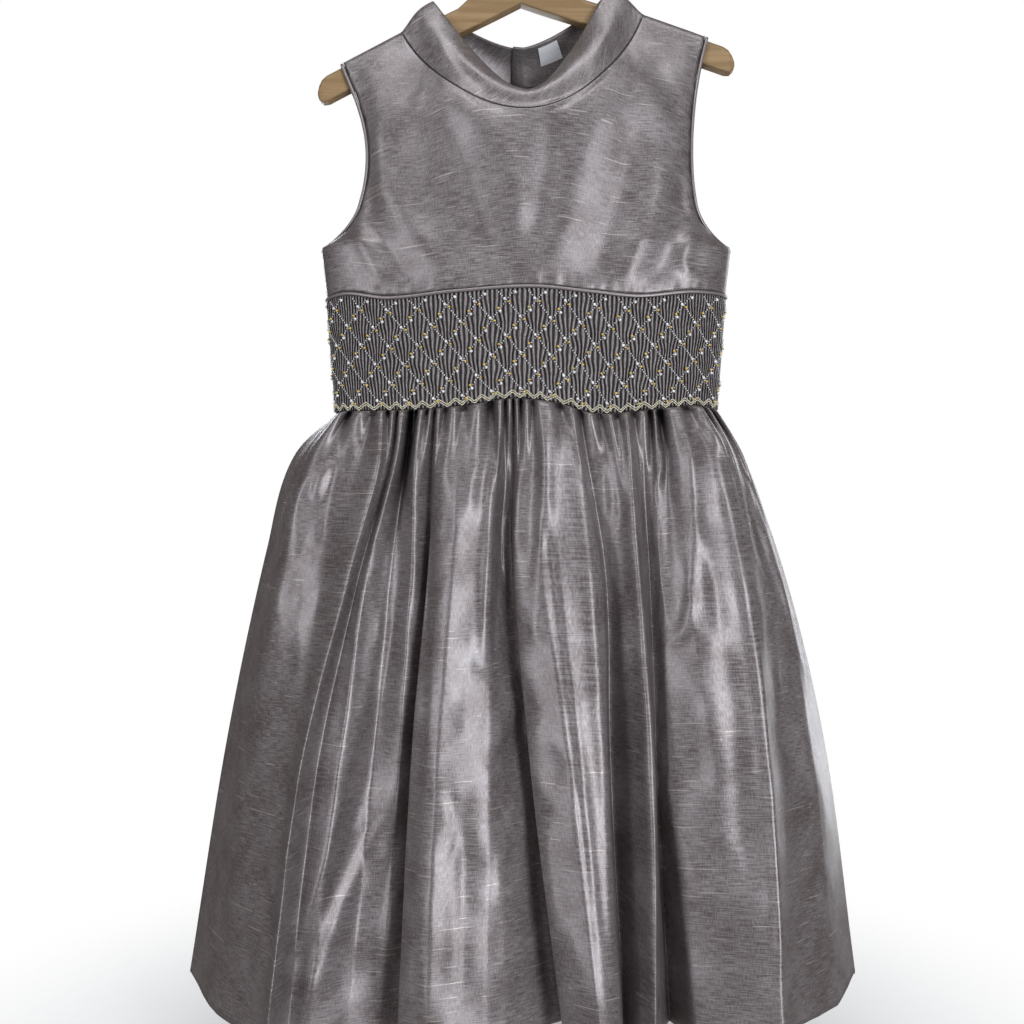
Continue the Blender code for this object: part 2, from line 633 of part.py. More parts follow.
def skirt_section(folds, down, side, samples):
    """The skirt's outline seen from above at a share of the way down: a smooth curve through the
    fold lines, drawn in between them by gathers that die away below the waist."""
    lines = np.array([fold_line_at(fold, down, side) for fold in folds])
    keys = lengths_along(lines)
    places = [mix(keys[i], keys[i + 1], k / samples) for i in range(len(lines) - 1) for k in range(samples)]
    curve = np.array([smooth_through(keys, lines, at) for at in [*places, keys[-1]]])
    index = np.arange(len(curve)) / samples
    ends = np.clip(np.minimum(index, index[-1] - index), 0, 1)
    fade = np.exp(-down / GATHER_FADE) * min(1.0, down / 0.012)
    curve[:, 1] -= GATHER_RISE * fade * (1 - np.cos(2 * pi * index)) / 2 * ends
    curve[:, 1] = np.maximum(curve[:, 1], SEAM_GAP / 2)
    return curve


def skirt_panel(name, folds, side, material, collection):
    """A gathered panel of the skirt. Each line down the cloth keeps its length, so a fold that
    leans out ends higher than one that hangs straight."""
    sections = [skirt_section(folds, down, side, SAMPLES_PER_FOLD) for down in SKIRT_ROWS]
    rises = [read_table(BOTTOM_SEAM, "x", "rise", x) if side == "front" else 0.0 for x, _ in sections[0]]
    levels = [WAIST_Z - SEAM_GAP + np.array(rises)]
    for k in range(1, len(SKIRT_ROWS)):
        run = (SKIRT_ROWS[k] - SKIRT_ROWS[k - 1]) * SKIRT_LENGTH
        leaning = np.minimum(np.linalg.norm(sections[k] - sections[k - 1], axis=1), 0.94 * run)
        levels.append(levels[-1] - np.sqrt(run**2 - leaning**2))
    sign = -1 if side == "front" else 1
    rows = [
        [hung(x, sign * out, z) for (x, out), z in zip(section, level)]
        for section, level in zip(sections, levels)
    ][::-1]
    free = seams(rows, len(rows), len(rows), top=True)
    return cloth_wall(name, rows, free, material, collection)


# Small pieces

LABEL_CLOTH = 0.0006
LABEL_GAP = 0.0004
LABEL_SHARES = np.linspace(0.37, 0.16, 5)
LABEL_HEIGHTS = np.linspace(0.46, 0.90, 3)


def label(material, collection):
    """The small plain label sewn inside the back of the collar."""
    rows = [
        [collar_place(share, "back", height, -COLLAR_LAP_STEP) for share in LABEL_SHARES]
        for height in LABEL_HEIGHTS
    ]
    free = np.ones(np.shape(rows))
    against_collar = inside_of(rows, free, COLLAR_CLOTH + LABEL_GAP)
    return cloth_wall("label", against_collar, free, material, collection, LABEL_CLOTH)


def button(name, z, material, collection):
    """A domed cloth-covered button on the outer lap of the back: a turned profile."""
    if z > neckline_z(0, NECK_BACK_DROP):
        x, y, z = collar_point(0.0, "back", 0.5)
        above = Vector(collar_point(0.0, "back", 0.75)) - Vector(collar_point(0.0, "back", 0.25))
        step = COLLAR_LAP_STEP
    else:
        x, y = 0.0, body_reach(0.0, z, "back")
        above = Vector((0, body_reach(0.0, z + 0.01, "back") - y, 0.01))
        step = BODICE_LAP_STEP
    lean = above.angle(Vector((0, 0, 1)))
    out = Vector((0, cos(lean), sin(lean)))
    bm = bmesh.new()
    profile = ((0.0, 0.0), (0.62, 0.0), (1.0, 0.35), (0.92, 0.66), (0.55, 0.93), (0.0, 1.0))
    points = [bm.verts.new((share * BUTTON_RADIUS, 0, height * BUTTON_HEIGHT)) for share, height in profile]
    edges = [bm.edges.new(pair) for pair in zip(points, points[1:])]
    bmesh.ops.spin(
        bm, geom=points + edges, axis=(0, 0, 1), cent=(0, 0, 0), angle=2 * pi, steps=BUTTON_SIDES, use_merge=True
    )
    bmesh.ops.remove_doubles(bm, verts=bm.verts, dist=0.00005)
    obj = new_object(name, bm, material, collection)
    seat = Matrix.Translation(Vector(hung(x, y + step, z)) + out * BUTTON_GAP)
    obj.matrix_world = seat @ Matrix.Rotation(lean - pi / 2, 4, "X")
    return obj


# Hanger

ARM_STATIONS = (0.0, 0.010, 0.022, 0.034, 0.050, 0.075, 0.105, 0.135, 0.1585, 0.1625, 0.1650, 0.1662, 0.1666)
ARM_TOP_ROUND = 0.0044
ARM_BOTTOM_ROUND = 0.0016
ARM_END_ROUND = 0.0078
CORNER_STEPS = 3


def arm_heights(x):
    """Top and bottom of the hanger's wood at a distance from its middle, and how far its end is
    rounded off there. The arms lie just under the shoulder seams, and the wood rises to a crown."""
    half = ARM_HEIGHT / 2
    dip = ARM_DIP * (1 - smoothstep(0.0, NECK_HALF_WIDTH, x))
    middle = shoulder_z(x) - CLOTH - ARM_REST_GAP - half - dip
    end = max(0.0, (x - ARM_TIP_X + ARM_END_ROUND / 2) / ARM_END_ROUND)
    narrow = half * (1 - (1 - min(1.0, end) ** 2) ** 0.5)
    top = mix(middle + half, ARM_CROWN_Z, smoothstep(0.045, 0.010, x))
    return top - narrow, middle - half + narrow, narrow


def hanger_wood(material, collection):
    """The two arms in one piece: rounded sections lofted from tip to tip."""
    rows = []
    for x in [-x for x in ARM_STATIONS[:0:-1]] + list(ARM_STATIONS):
        top, bottom, narrow = arm_heights(abs(x))
        t = ARM_HALF_THICKNESS - narrow / 3
        room = 0.98 * min((top - bottom) / 2, t)
        upper, lower = min(ARM_TOP_ROUND, room), min(ARM_BOTTOM_ROUND, room)
        corners = (
            (lower - t, bottom + lower, lower, pi),
            (t - lower, bottom + lower, lower, 1.5 * pi),
            (t - upper, top - upper, upper, 0.0),
            (upper - t, top - upper, upper, 0.5 * pi),
        )
        ring = []
        for y, z, radius, start in corners:
            for k in range(CORNER_STEPS + 1):
                angle = start + k * pi / 2 / CORNER_STEPS
                ring.append((x, y + radius * cos(angle), z + radius * sin(angle)))
        rows.append(ring + ring[:1])
    bm = shaped_grid(rows)
    bmesh.ops.remove_doubles(bm, verts=bm.verts, dist=0.00002)
    bmesh.ops.holes_fill(bm, edges=[edge for edge in bm.edges if edge.is_boundary])
    obj = new_object("hanger_wood", bm, material, collection)
    obj.rotation_euler = (0, -TILT, 0)
    return obj


def hanger_hook(material, collection):
    """The hook's wire: up from the wood, round over the rail and down to its free end."""
    radius = HOOK_INNER_RADIUS + HOOK_WIRE_RADIUS
    route = [(0.0, ARM_CROWN_Z + SEAM_GAP), (0.0, -0.052), (0.0035, -0.0445), (0.0110, -0.0365)]
    for degrees in range(-30, 201, 23):
        angle = radians(degrees)
        route.append((radius * cos(angle), radius * sin(angle) - HOOK_INNER_RADIUS))
    route = np.array(route)
    keys = lengths_along(route)
    path = [smooth_through(keys, route, at) for at in np.linspace(0, keys[-1], 40)]
    obj = tube_along("hanger_hook", [(x, 0.0, z) for x, z in path], HOOK_WIRE_RADIUS, material, collection, 2)
    obj.rotation_euler = (0, -TILT, 0)
    return obj


def main():
    for obj in list(bpy.data.objects):
        bpy.data.objects.remove(obj, do_unlink=True)
    dress = bpy.data.collections.new("smocked_dress")
    bpy.context.scene.collection.children.link(dress)
    cloth = new_material("dupion", TAUPE, 0.42, 0.25)
    pleated = new_material("smocked_dupion", DARK_TAUPE, 0.5, 0.2)
    cord = new_material("piping", PIPING_TAUPE, 0.42, 0.2)
    covered = new_material("covered_button", TAUPE, 0.45, 0.2)
    woven_white = new_material("label_tape", WHITE, 0.7)
    wood = new_material("oiled_wood", OAK, 0.5)
    steel = new_material("plated_steel", STEEL, 0.25, 1.0)

    panels = bodice(cloth, dress)
    armhole_pipings(*panels, cord, dress)
    collar(cloth, dress)
    waist_piping(cord, dress)
    smocked_band(pleated, dress)
    skirt_panel("skirt_front", FRONT_FOLDS, "front", cloth, dress)
    skirt_panel("skirt_back", BACK_FOLDS, "back", cloth, dress)
    label(woven_white, dress)
    for number, row in enumerate(BUTTONS, 1):
        button(f"button_{number}", row.z, covered, dress)
    hanger_wood(wood, dress)
    hanger_hook(steel, dress)


main()
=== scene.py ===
"""The looks of a girl's smocked party dress on a wooden hanger: slubbed dupion, smocking with
cable stitch and beads, piping, gathered skirt, wood and wire.

Metres, +Z up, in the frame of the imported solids. The front faces -Y. Creases are placed by where
they show in a picture taken from the camera below, 1024 pixels square.
"""

from collections import namedtuple
from math import cos, pi, radians, sin, tan

import bmesh
import bpy
import numpy as np
from mathutils import Matrix, Vector, noise


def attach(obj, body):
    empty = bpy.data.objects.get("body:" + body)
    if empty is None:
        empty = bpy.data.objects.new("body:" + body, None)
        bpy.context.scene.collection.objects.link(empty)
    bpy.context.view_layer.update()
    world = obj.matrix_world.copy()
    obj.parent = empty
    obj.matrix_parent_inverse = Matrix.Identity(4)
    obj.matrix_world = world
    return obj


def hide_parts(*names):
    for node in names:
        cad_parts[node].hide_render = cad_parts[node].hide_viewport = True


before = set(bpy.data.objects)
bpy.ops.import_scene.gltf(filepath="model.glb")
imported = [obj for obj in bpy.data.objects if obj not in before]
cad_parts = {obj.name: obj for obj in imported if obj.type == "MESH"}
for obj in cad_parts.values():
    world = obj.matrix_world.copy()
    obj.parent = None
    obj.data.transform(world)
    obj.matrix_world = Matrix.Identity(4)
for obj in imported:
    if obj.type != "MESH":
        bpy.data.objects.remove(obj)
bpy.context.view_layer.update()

bl_info = {
    "name": "Smocked dress on a hanger",
    "version": (1, 0, 0),
    "blender": (4, 5, 0),
    "location": "3D View > Sidebar > Dress",
    "description": "Makes the cloth, smocking, beads and finishes of a hanging dress",
    "category": "Object",
}

# Camera
CAMERA_DISTANCE = 0.90
CAMERA_Z = -0.499
PIXELS_PER_METRE = 1250
PHOTO_MIDDLE = 512

# Garment, the same sizes as the solids
SEAM_GAP = 0.0003
PIPING_RADIUS = 0.0014
PIPING_SINK = 0.0004
PIPING_GAP = 0.0007
TILT = radians(4.2)
NECK_HALF_WIDTH = 0.0965
NECK_Z = -0.110
NECK_FRONT_DROP = 0.079
NECK_BACK_DROP = 0.039
SHOULDER_TIP_X = 0.144
SHOULDER_SLOPE = tan(radians(23.5))
SHOULDER_REACH = 0.0082
ARMHOLE_GAP = 0.007
UNDERARM_X = 0.1635
UNDERARM_Z = -0.291
WAIST_TOP_Z = -0.330
WAIST_TOP_X = 0.1588
WAIST_Z = -0.420
WAIST_X = 0.152
LEVEL_Z = -0.290
SHOULDER_Z = -0.150
LEVEL_SWAY = 0.0112
HEM_SWAY = 0.0085
COLLAR_TOP_HALF_WIDTH = 0.070
COLLAR_TOP_Z = -0.087
COLLAR_TOP_FRONT_Z = -0.170
COLLAR_TOP_BACK_Z = -0.122
COLLAR_TOP_REACH = 0.016
OVERLAP_LEFT_X = 0.012
OVERLAP_RIGHT_X = -0.011
BODICE_LAP_STEP = 0.00085
COLLAR_LAP_STEP = 0.0014
SKIRT_LENGTH = 0.466
FOLD_STATIONS = (0.0, 0.10, 0.26, 0.58, 1.0)

ArmholePoint = namedtuple("ArmholePoint", "z half_width")
ARMHOLE = (
    ArmholePoint(-0.131, 0.1440),
    ArmholePoint(-0.160, 0.1348),
    ArmholePoint(-0.185, 0.1290),
    ArmholePoint(-0.210, 0.1260),
    ArmholePoint(-0.235, 0.1265),
    ArmholePoint(-0.252, 0.1290),
    ArmholePoint(-0.264, 0.1325),
    ArmholePoint(-0.274, 0.1395),
    ArmholePoint(-0.283, 0.1500),
    ArmholePoint(-0.291, 0.1635),
)
Reach = namedtuple("Reach", "z front back")
BODICE_REACH = (
    Reach(-0.110, 0.020, 0.020),
    Reach(-0.150, 0.032, 0.034),
    Reach(-0.190, 0.038, 0.038),
    Reach(-0.250, 0.041, 0.039),
    Reach(-0.330, 0.044, 0.040),
    Reach(-0.420, 0.045, 0.042),
)
SeamPoint = namedtuple("SeamPoint", "x rise")
TOP_SEAM = (
    SeamPoint(-0.164, -0.0030),
    SeamPoint(-0.142, 0.0005),
    SeamPoint(-0.108, -0.0045),
    SeamPoint(-0.055, -0.0005),
    SeamPoint(0.005, 0.0030),
    SeamPoint(0.050, -0.0010),
    SeamPoint(0.085, -0.0038),
    SeamPoint(0.130, 0.0012),
    SeamPoint(0.164, 0.0010),
)
BOTTOM_SEAM = (
    SeamPoint(-0.152, 0.0000),
    SeamPoint(-0.080, 0.0000),
    SeamPoint(-0.045, 0.0030),
    SeamPoint(-0.010, 0.0080),
    SeamPoint(0.025, 0.0040),
    SeamPoint(0.050, -0.0030),
    SeamPoint(0.095, 0.0000),
    SeamPoint(0.135, 0.0040),
    SeamPoint(0.152, 0.0020),
)

# Fold lines down the skirt: distance across from the centre line at the waist, just under it,
# at the hip, the knee and the hem, then how far out the line stands at the last four
Fold = namedtuple("Fold", "name waist upper hip knee hem upper_out hip_out knee_out hem_out")
FRONT_FOLDS = (
    Fold("left_seam", -0.152, -0.1845, -0.2040, -0.2350, -0.2660, 0.000, 0.000, 0.000, 0.000),
    Fold("left_side", -0.142, -0.165, -0.181, -0.205, -0.228, 0.027, 0.034, 0.048, 0.064),
    Fold("left_crease", -0.128, -0.136, -0.150, -0.168, -0.187, 0.036, 0.046, 0.078, 0.104),
    Fold("left_crest", -0.110, -0.110, -0.127, -0.159, -0.180, 0.051, 0.063, 0.095, 0.118),
    Fold("left_hollow", -0.100, -0.103, -0.121, -0.150, -0.170, 0.040, 0.049, 0.074, 0.092),
    Fold("left_second_crest", -0.093, -0.098, -0.115, -0.134, -0.156, 0.047, 0.057, 0.080, 0.094),
    Fold("left_dark_face", -0.085, -0.090, -0.100, -0.112, -0.128, 0.041, 0.048, 0.064, 0.078),
    Fold("left_panel_crest", -0.077, -0.082, -0.084, -0.092, -0.106, 0.047, 0.057, 0.070, 0.074),
    Fold("under_left_pleat", -0.070, -0.072, -0.070, -0.078, -0.086, 0.040, 0.042, 0.054, 0.062),
    Fold("left_pleat_edge", -0.063, -0.067, -0.071, -0.082, -0.090, 0.047, 0.057, 0.084, 0.106),
    Fold("left_pleat_crest", -0.048, -0.050, -0.052, -0.062, -0.068, 0.054, 0.067, 0.098, 0.122),
    Fold("left_pleat_face", -0.023, -0.022, -0.024, -0.024, -0.028, 0.052, 0.063, 0.092, 0.114),
    Fold("left_pleat_end", -0.014, -0.014, -0.0165, -0.004, 0.006, 0.043, 0.046, 0.072, 0.092),
    Fold("under_middle_pleat", -0.010, -0.009, -0.0085, 0.008, 0.032, 0.040, 0.041, 0.058, 0.070),
    Fold("middle_pleat_edge", -0.004, -0.004, -0.007, 0.004, 0.028, 0.049, 0.057, 0.084, 0.104),
    Fold("middle_pleat_crest", 0.010, 0.013, 0.013, 0.032, 0.053, 0.056, 0.068, 0.102, 0.124),
    Fold("middle_pleat_end", 0.030, 0.040, 0.056, 0.060, 0.068, 0.052, 0.063, 0.094, 0.114),
    Fold("middle_hollow", 0.044, 0.050, 0.062, 0.065, 0.074, 0.041, 0.045, 0.060, 0.076),
    Fold("right_slope", 0.060, 0.068, 0.072, 0.076, 0.080, 0.047, 0.053, 0.078, 0.096),
    Fold("right_crest", 0.074, 0.080, 0.086, 0.092, 0.091, 0.052, 0.063, 0.096, 0.118),
    Fold("right_hollow", 0.088, 0.091, 0.096, 0.099, 0.110, 0.041, 0.048, 0.062, 0.052),
    Fold("right_pleat_edge", 0.098, 0.101, 0.104, 0.106, 0.124, 0.046, 0.056, 0.078, 0.094),
    Fold("right_pleat_face", 0.116, 0.122, 0.121, 0.136, 0.152, 0.049, 0.061, 0.088, 0.106),
    Fold("right_pleat_crest", 0.132, 0.152, 0.167, 0.176, 0.181, 0.044, 0.056, 0.088, 0.116),
    Fold("right_crease", 0.138, 0.160, 0.178, 0.188, 0.194, 0.035, 0.044, 0.072, 0.098),
    Fold("right_side", 0.145, 0.170, 0.194, 0.218, 0.234, 0.024, 0.028, 0.044, 0.060),
    Fold("right_seam", 0.152, 0.1750, 0.2030, 0.2395, 0.2660, 0.000, 0.000, 0.000, 0.000),
)
BACK_FOLDS = (
    Fold("left_seam", 0.152, 0.1750, 0.2030, 0.2395, 0.2660, 0.000, 0.000, 0.000, 0.000),
    Fold("left_side", 0.143, 0.170, 0.192, 0.219, 0.237, 0.022, 0.028, 0.040, 0.052),
    Fold("left_crest", 0.125, 0.142, 0.160, 0.184, 0.197, 0.046, 0.056, 0.078, 0.098),
    Fold("left_hollow", 0.110, 0.124, 0.140, 0.160, 0.172, 0.038, 0.044, 0.060, 0.070),
    Fold("left_face", 0.096, 0.108, 0.122, 0.134, 0.146, 0.045, 0.054, 0.076, 0.096),
    Fold("left_face_crest", 0.080, 0.088, 0.098, 0.111, 0.118, 0.051, 0.062, 0.090, 0.112),
    Fold("left_inner_hollow", 0.066, 0.072, 0.080, 0.091, 0.098, 0.040, 0.046, 0.062, 0.076),
    Fold("left_inner_face", 0.052, 0.056, 0.062, 0.069, 0.078, 0.048, 0.056, 0.082, 0.098),
    Fold("left_inner_crest", 0.036, 0.037, 0.040, 0.044, 0.050, 0.053, 0.064, 0.094, 0.116),
    Fold("middle_hollow", 0.018, 0.019, 0.021, 0.022, 0.026, 0.042, 0.048, 0.066, 0.078),
    Fold("middle_face", 0.002, 0.002, 0.002, 0.000, 0.004, 0.051, 0.060, 0.086, 0.102),
    Fold("middle_crest", -0.016, -0.017, -0.018, -0.023, -0.026, 0.054, 0.066, 0.098, 0.120),
    Fold("right_inner_hollow", -0.034, -0.036, -0.040, -0.045, -0.050, 0.042, 0.048, 0.066, 0.080),
    Fold("right_inner_face", -0.050, -0.054, -0.060, -0.066, -0.074, 0.048, 0.056, 0.084, 0.100),
    Fold("right_inner_crest", -0.066, -0.072, -0.080, -0.090, -0.098, 0.051, 0.062, 0.092, 0.114),
    Fold("right_hollow", -0.082, -0.090, -0.100, -0.115, -0.124, 0.040, 0.046, 0.062, 0.074),
    Fold("right_face", -0.098, -0.110, -0.122, -0.139, -0.152, 0.046, 0.054, 0.076, 0.094),
    Fold("right_crest", -0.116, -0.134, -0.151, -0.173, -0.187, 0.047, 0.058, 0.080, 0.100),
    Fold("right_side", -0.141, -0.168, -0.188, -0.214, -0.233, 0.026, 0.030, 0.042, 0.056),
    Fold("right_seam", -0.152, -0.1845, -0.2040, -0.2350, -0.2660, 0.000, 0.000, 0.000, 0.000),
)

# Creases: a line from one place in the picture to another, how far it bows to its right in the
# middle, how wide its slopes are on its left and right, in pixels, and how high it stands, in mm
Crease = namedtuple("Crease", "name x1 y1 x2 y2 bow left right rise")
BODICE_CREASES = (
    Crease("left_shoulder_drape", 384, 50, 372, 150, -10, 12, 20, 1.8),
    Crease("left_shoulder_hollow", 428, 70, 398, 168, -8, 16, 20, -1.6),
    Crease("left_arm_drape", 362, 138, 462, 286, -10, 16, 15, 2.6),
    Crease("left_arm_hollow", 352, 168, 414, 288, -6, 12, 12, -2.2),
    Crease("left_side_drape", 352, 204, 386, 282, -6, 8, 10, 2.0),
    Crease("left_middle_hollow", 436, 104, 492, 284, 8, 18, 14, -2.4),
    Crease("middle_drape", 462, 104, 518, 232, 18, 16, 20, 2.6),
    Crease("middle_hollow", 552, 118, 536, 262, 2, 16, 14, -2.4),
    Crease("right_neck_drape", 600, 76, 524, 284, 14, 20, 22, 2.8),
    Crease("right_neck_hollow", 634, 118, 590, 284, 6, 16, 16, -2.4),
    Crease("right_arm_drape", 664, 156, 622, 286, 4, 14, 13, 2.6),
    Crease("right_shoulder_hollow", 652, 60, 690, 128, 0, 14, 12, -1.6),
    Crease("right_arm_hollow", 690, 170, 650, 286, 6, 12, 12, -2.2),
    Crease("right_side_drape", 696, 232, 684, 272, -5, 7, 9, 2.0),
    Crease("right_side_curl", 684, 268, 712, 284, -4, 5, 6, 1.4),
    Crease("below_collar_dent", 548, 108, 572, 100, 0, 4, 5, -1.4),
)
COLLAR_CREASES = (
    Crease("left_soft_fold", 448, 42, 482, 86, -4, 6, 7, -1.5),
    Crease("right_dent", 548, 96, 572, 108, 2, 5, 6, -1.2),
    Crease("right_soft_fold", 618, 22, 586, 84, -4, 7, 8, 0.9),
)
SKIRT_CREASES = (
    Crease("left_side_crest", 330, 430, 286, 560, -10, 10, 14, 2.6),
    Crease("left_waist_curl", 338, 462, 316, 500, -6, 5, 8, 2.4),
    Crease("left_waist_hollow", 350, 440, 322, 540, -6, 7, 9, -3.0),
    Crease("left_ridge", 397, 415, 268, 1016, 30, 12, 5.4, 3.0),
    Crease("left_ridge_shade", 408, 440, 290, 1000, 28, 5, 12, -2.2),
    Crease("second_ridge", 363, 540, 345, 745, 2, 5.4, 6, 2.2),
    Crease("second_ridge_foot", 345, 745, 312, 950, -6, 8, 14, 1.8),
    Crease("lit_band", 392, 812, 330, 946, -6, 8, 12, 2.4),
    Crease("lit_band_foot", 330, 950, 300, 1016, -2, 8, 12, 1.4),
    Crease("dark_panel", 396, 830, 372, 1000, -4, 14, 8, -2.6),
    Crease("third_crest", 418, 430, 420, 620, -3, 6, 8, 2.4),
    Crease("third_hollow", 433, 440, 428, 640, 0, 5, 5, -3.0),
    Crease("left_pleat_edge", 436, 470, 398, 1018, 12, 5.4, 18, 2.6),
    Crease("left_pleat_crest", 462, 480, 446, 690, -4, 12, 14, 2.2),
    Crease("left_pleat_lit", 436, 820, 428, 1010, -2, 12, 14, 2.0),
    Crease("left_pleat_lit_end", 464, 790, 462, 1000, 0, 6, 10, -1.6),
    Crease("middle_ridge", 499, 430, 486, 652, -4, 6, 7, 3.0),
    Crease("middle_valley", 509, 444, 493, 664, -2, 5, 4, -3.6),
    Crease("middle_dent", 470, 664, 527, 696, 3, 4, 12, -2.4),
    Crease("middle_dent_edge", 528, 700, 490, 764, 5, 6, 9, -2.2),
    Crease("middle_dent_foot", 450, 790, 448, 850, 5, 5, 7, -1.4),
    Crease("middle_pleat_edge", 510, 440, 561, 1018, -6, 5.4, 16, 2.8),
    Crease("sunlit_ridge", 544, 430, 538, 560, 4, 6, 8, 3.0),
    Crease("sunlit_ridge_end", 538, 560, 536, 640, 0, 8, 10, 1.8),
    Crease("thin_seam_fold", 548, 490, 606, 1016, 2, 5.4, 5.2, 1.1),
    Crease("thin_seam_hollow", 541, 500, 590, 900, 2, 5, 4, -1.2),
    Crease("middle_pleat_end", 580, 470, 612, 980, 6, 8, 5.4, 2.6),
    Crease("dark_face", 606, 560, 628, 960, 4, 10, 10, -2.6),
    Crease("right_ridge", 626, 440, 652, 1010, 6, 8, 5.4, 3.4),
    Crease("right_ridge_top", 596, 430, 612, 520, 4, 6, 7, 2.6),
    Crease("right_valley", 640, 430, 656, 700, 2, 4, 5, -3.0),
    Crease("right_valley_foot", 657, 790, 680, 1010, 2, 4, 8, -3.6),
    Crease("short_ridge", 665, 430, 654, 488, 3, 5, 6, 2.8),
    Crease("right_curl", 688, 430, 690, 590, 4, 5, 8, 3.0),
    Crease("right_curl_foot", 690, 590, 676, 640, 4, 6, 7, 2.4),
    Crease("pocket_edge", 694, 520, 718, 640, 5, 6, 9, 1.9),
    Crease("pocket_foot", 716, 644, 664, 640, -14, 9, 12, 1.6),
    Crease("pocket", 690, 690, 700, 790, 2, 22, 14, -2.4),
    Crease("dark_side_face", 722, 640, 746, 880, 4, 14, 12, -2.2),
    Crease("right_pleat_ridge", 716, 446, 780, 1010, 16, 6, 5.4, 3.0),
    Crease("right_waist_crest", 700, 426, 738, 470, 6, 6, 8, 3.0),
    Crease("right_edge_crest", 742, 468, 816, 704, 4, 5, 4, 2.6),
    Crease("right_edge_lit", 796, 690, 832, 900, 6, 12, 14, 2.4),
    Crease("right_edge_hollow", 776, 700, 804, 940, 6, 10, 12, -2.0),
)


# Small numeric helpers, on numbers or whole arrays


def smoothstep(low, high, value):
    share = np.clip((value - low) / (high - low), 0, 1)
    return share * share * (3 - 2 * share)


def mix(first, second, share):
    return first + (second - first) * share


def smooth_through(keys, values, at):
    """Values between the keys, on a curve that turns smoothly at each of them."""
    keys, values = np.asarray(keys, float), np.asarray(values, float)
    at = np.clip(np.asarray(at, float), keys[0], keys[-1])
    i = np.clip(np.searchsorted(keys, at) - 1, 0, len(keys) - 2)
    spans = np.diff(keys)
    slopes = np.diff(values, axis=0) / (spans if values.ndim == 1 else spans[:, None])
    turns = np.concatenate([slopes[:1], (slopes[:-1] + slopes[1:]) / 2, slopes[-1:]])
    span = spans[i]
    s = (at - keys[i]) / span
    if values.ndim > 1:
        s, span = s[..., None], span[..., None]
    return (
        (2 * s**3 - 3 * s**2 + 1) * values[i]
        + (s**3 - 2 * s**2 + s) * span * turns[i]
        + (3 * s**2 - 2 * s**3) * values[i + 1]
        + (s**3 - s**2) * span * turns[i + 1]
    )


def read_table(rows, key, column, at):
    pairs = sorted((getattr(row, key), getattr(row, column)) for row in rows)
    return smooth_through([pair[0] for pair in pairs], [pair[1] for pair in pairs], at)


def lengths_along(line):
    steps = np.linalg.norm(np.diff(np.asarray(line, float), axis=0), axis=1)
    return np.concatenate([[0], np.cumsum(steps)])


def points_at_shares(line, shares):
    line = np.asarray(line, float)
    lengths = lengths_along(line)
    return np.stack([np.interp(np.asarray(shares) * lengths[-1], lengths, row) for row in line.T], axis=1)


def soft_noise(points, seed):
    """Smooth noise from -1 to 1 at each of an array of 2-D places."""
    flat = np.asarray(points, float).reshape(-1, 2)
    values = [noise.noise(Vector((x, y, seed * 7.31))) for x, y in flat]
    return np.array(values).reshape(np.shape(points)[:-1])


def ridged(values):
    """Smooth noise turned into sharp-crested wrinkles, from 0 to 1."""
    return 1 - np.abs(values) * 2


# The garment's form, the same as the solids'


def hung(x, y, z):
    """Points of the upright garment where it hangs: the shoulders lean with the hanger."""
    x, y, z = np.broadcast_arrays(x, y, z)
    leaning = smoothstep(LEVEL_Z, SHOULDER_Z, z)
    level_sway = mix(HEM_SWAY, LEVEL_SWAY, smoothstep(2 * WAIST_Z - WAIST_TOP_Z, WAIST_Z, z))
    sway = mix(level_sway, -z * sin(TILT), leaning)
    rise = leaning * (x * sin(TILT) - z * (1 - cos(TILT)))
    return np.stack([x * mix(1, cos(TILT), leaning) + sway, y, z + rise], axis=-1)


def side_x(z):
    above = mix(WAIST_TOP_X, UNDERARM_X, (z - WAIST_TOP_Z) / (UNDERARM_Z - WAIST_TOP_Z))
    below = mix(WAIST_X, WAIST_TOP_X, (z - WAIST_Z) / (WAIST_TOP_Z - WAIST_Z))
    hole = read_table(ARMHOLE, "z", "half_width", z)
    return np.where(z >= UNDERARM_Z, hole, np.where(z >= WAIST_TOP_Z, above, below))


def shoulder_z(x):
    return NECK_Z - (np.abs(x) - NECK_HALF_WIDTH) * SHOULDER_SLOPE


def bulge(share, power):
    """From 1 in the middle to 0 at the rim, for a share from 0 to 1 of the way out."""
    return (1 - np.minimum(1.0, np.abs(share)) ** power) ** (1 / power)


def body_reach(x, z, side):
    """How far the bodice stands from the plane of the side seams, on the front or back."""
    below = np.maximum(0.0, shoulder_z(x) - z)
    edge = side_x(z)
    above_underarm = smoothstep(UNDERARM_Z, UNDERARM_Z + 0.040, z)
    over_arm = SHOULDER_REACH * bulge(np.maximum(0.0, 1 - below / SHOULDER_REACH), 3.2)
    over_arm = over_arm * bulge(x / (edge + 0.030 * above_underarm), 7)
    full = read_table(BODICE_REACH, "z", side, z) - SHOULDER_REACH
    crown = bulge(x / (edge + ARMHOLE_GAP * above_underarm), 2.2)
    return over_arm + full * crown * smoothstep(0.0, 0.085, below)


def neckline_z(x, drop):
    return NECK_Z - drop * (1 - np.minimum(1.0, np.abs(x) / NECK_HALF_WIDTH) ** 2) ** 0.85


# Creases


def in_photo(points):
    """Where points show in the picture, in pixels across and down."""
    nearer = CAMERA_DISTANCE / (CAMERA_DISTANCE + points[..., 1]) * PIXELS_PER_METRE
    across = PHOTO_MIDDLE + points[..., 0] * nearer
    return across, PHOTO_MIDDLE - (points[..., 2] - CAMERA_Z) * nearer


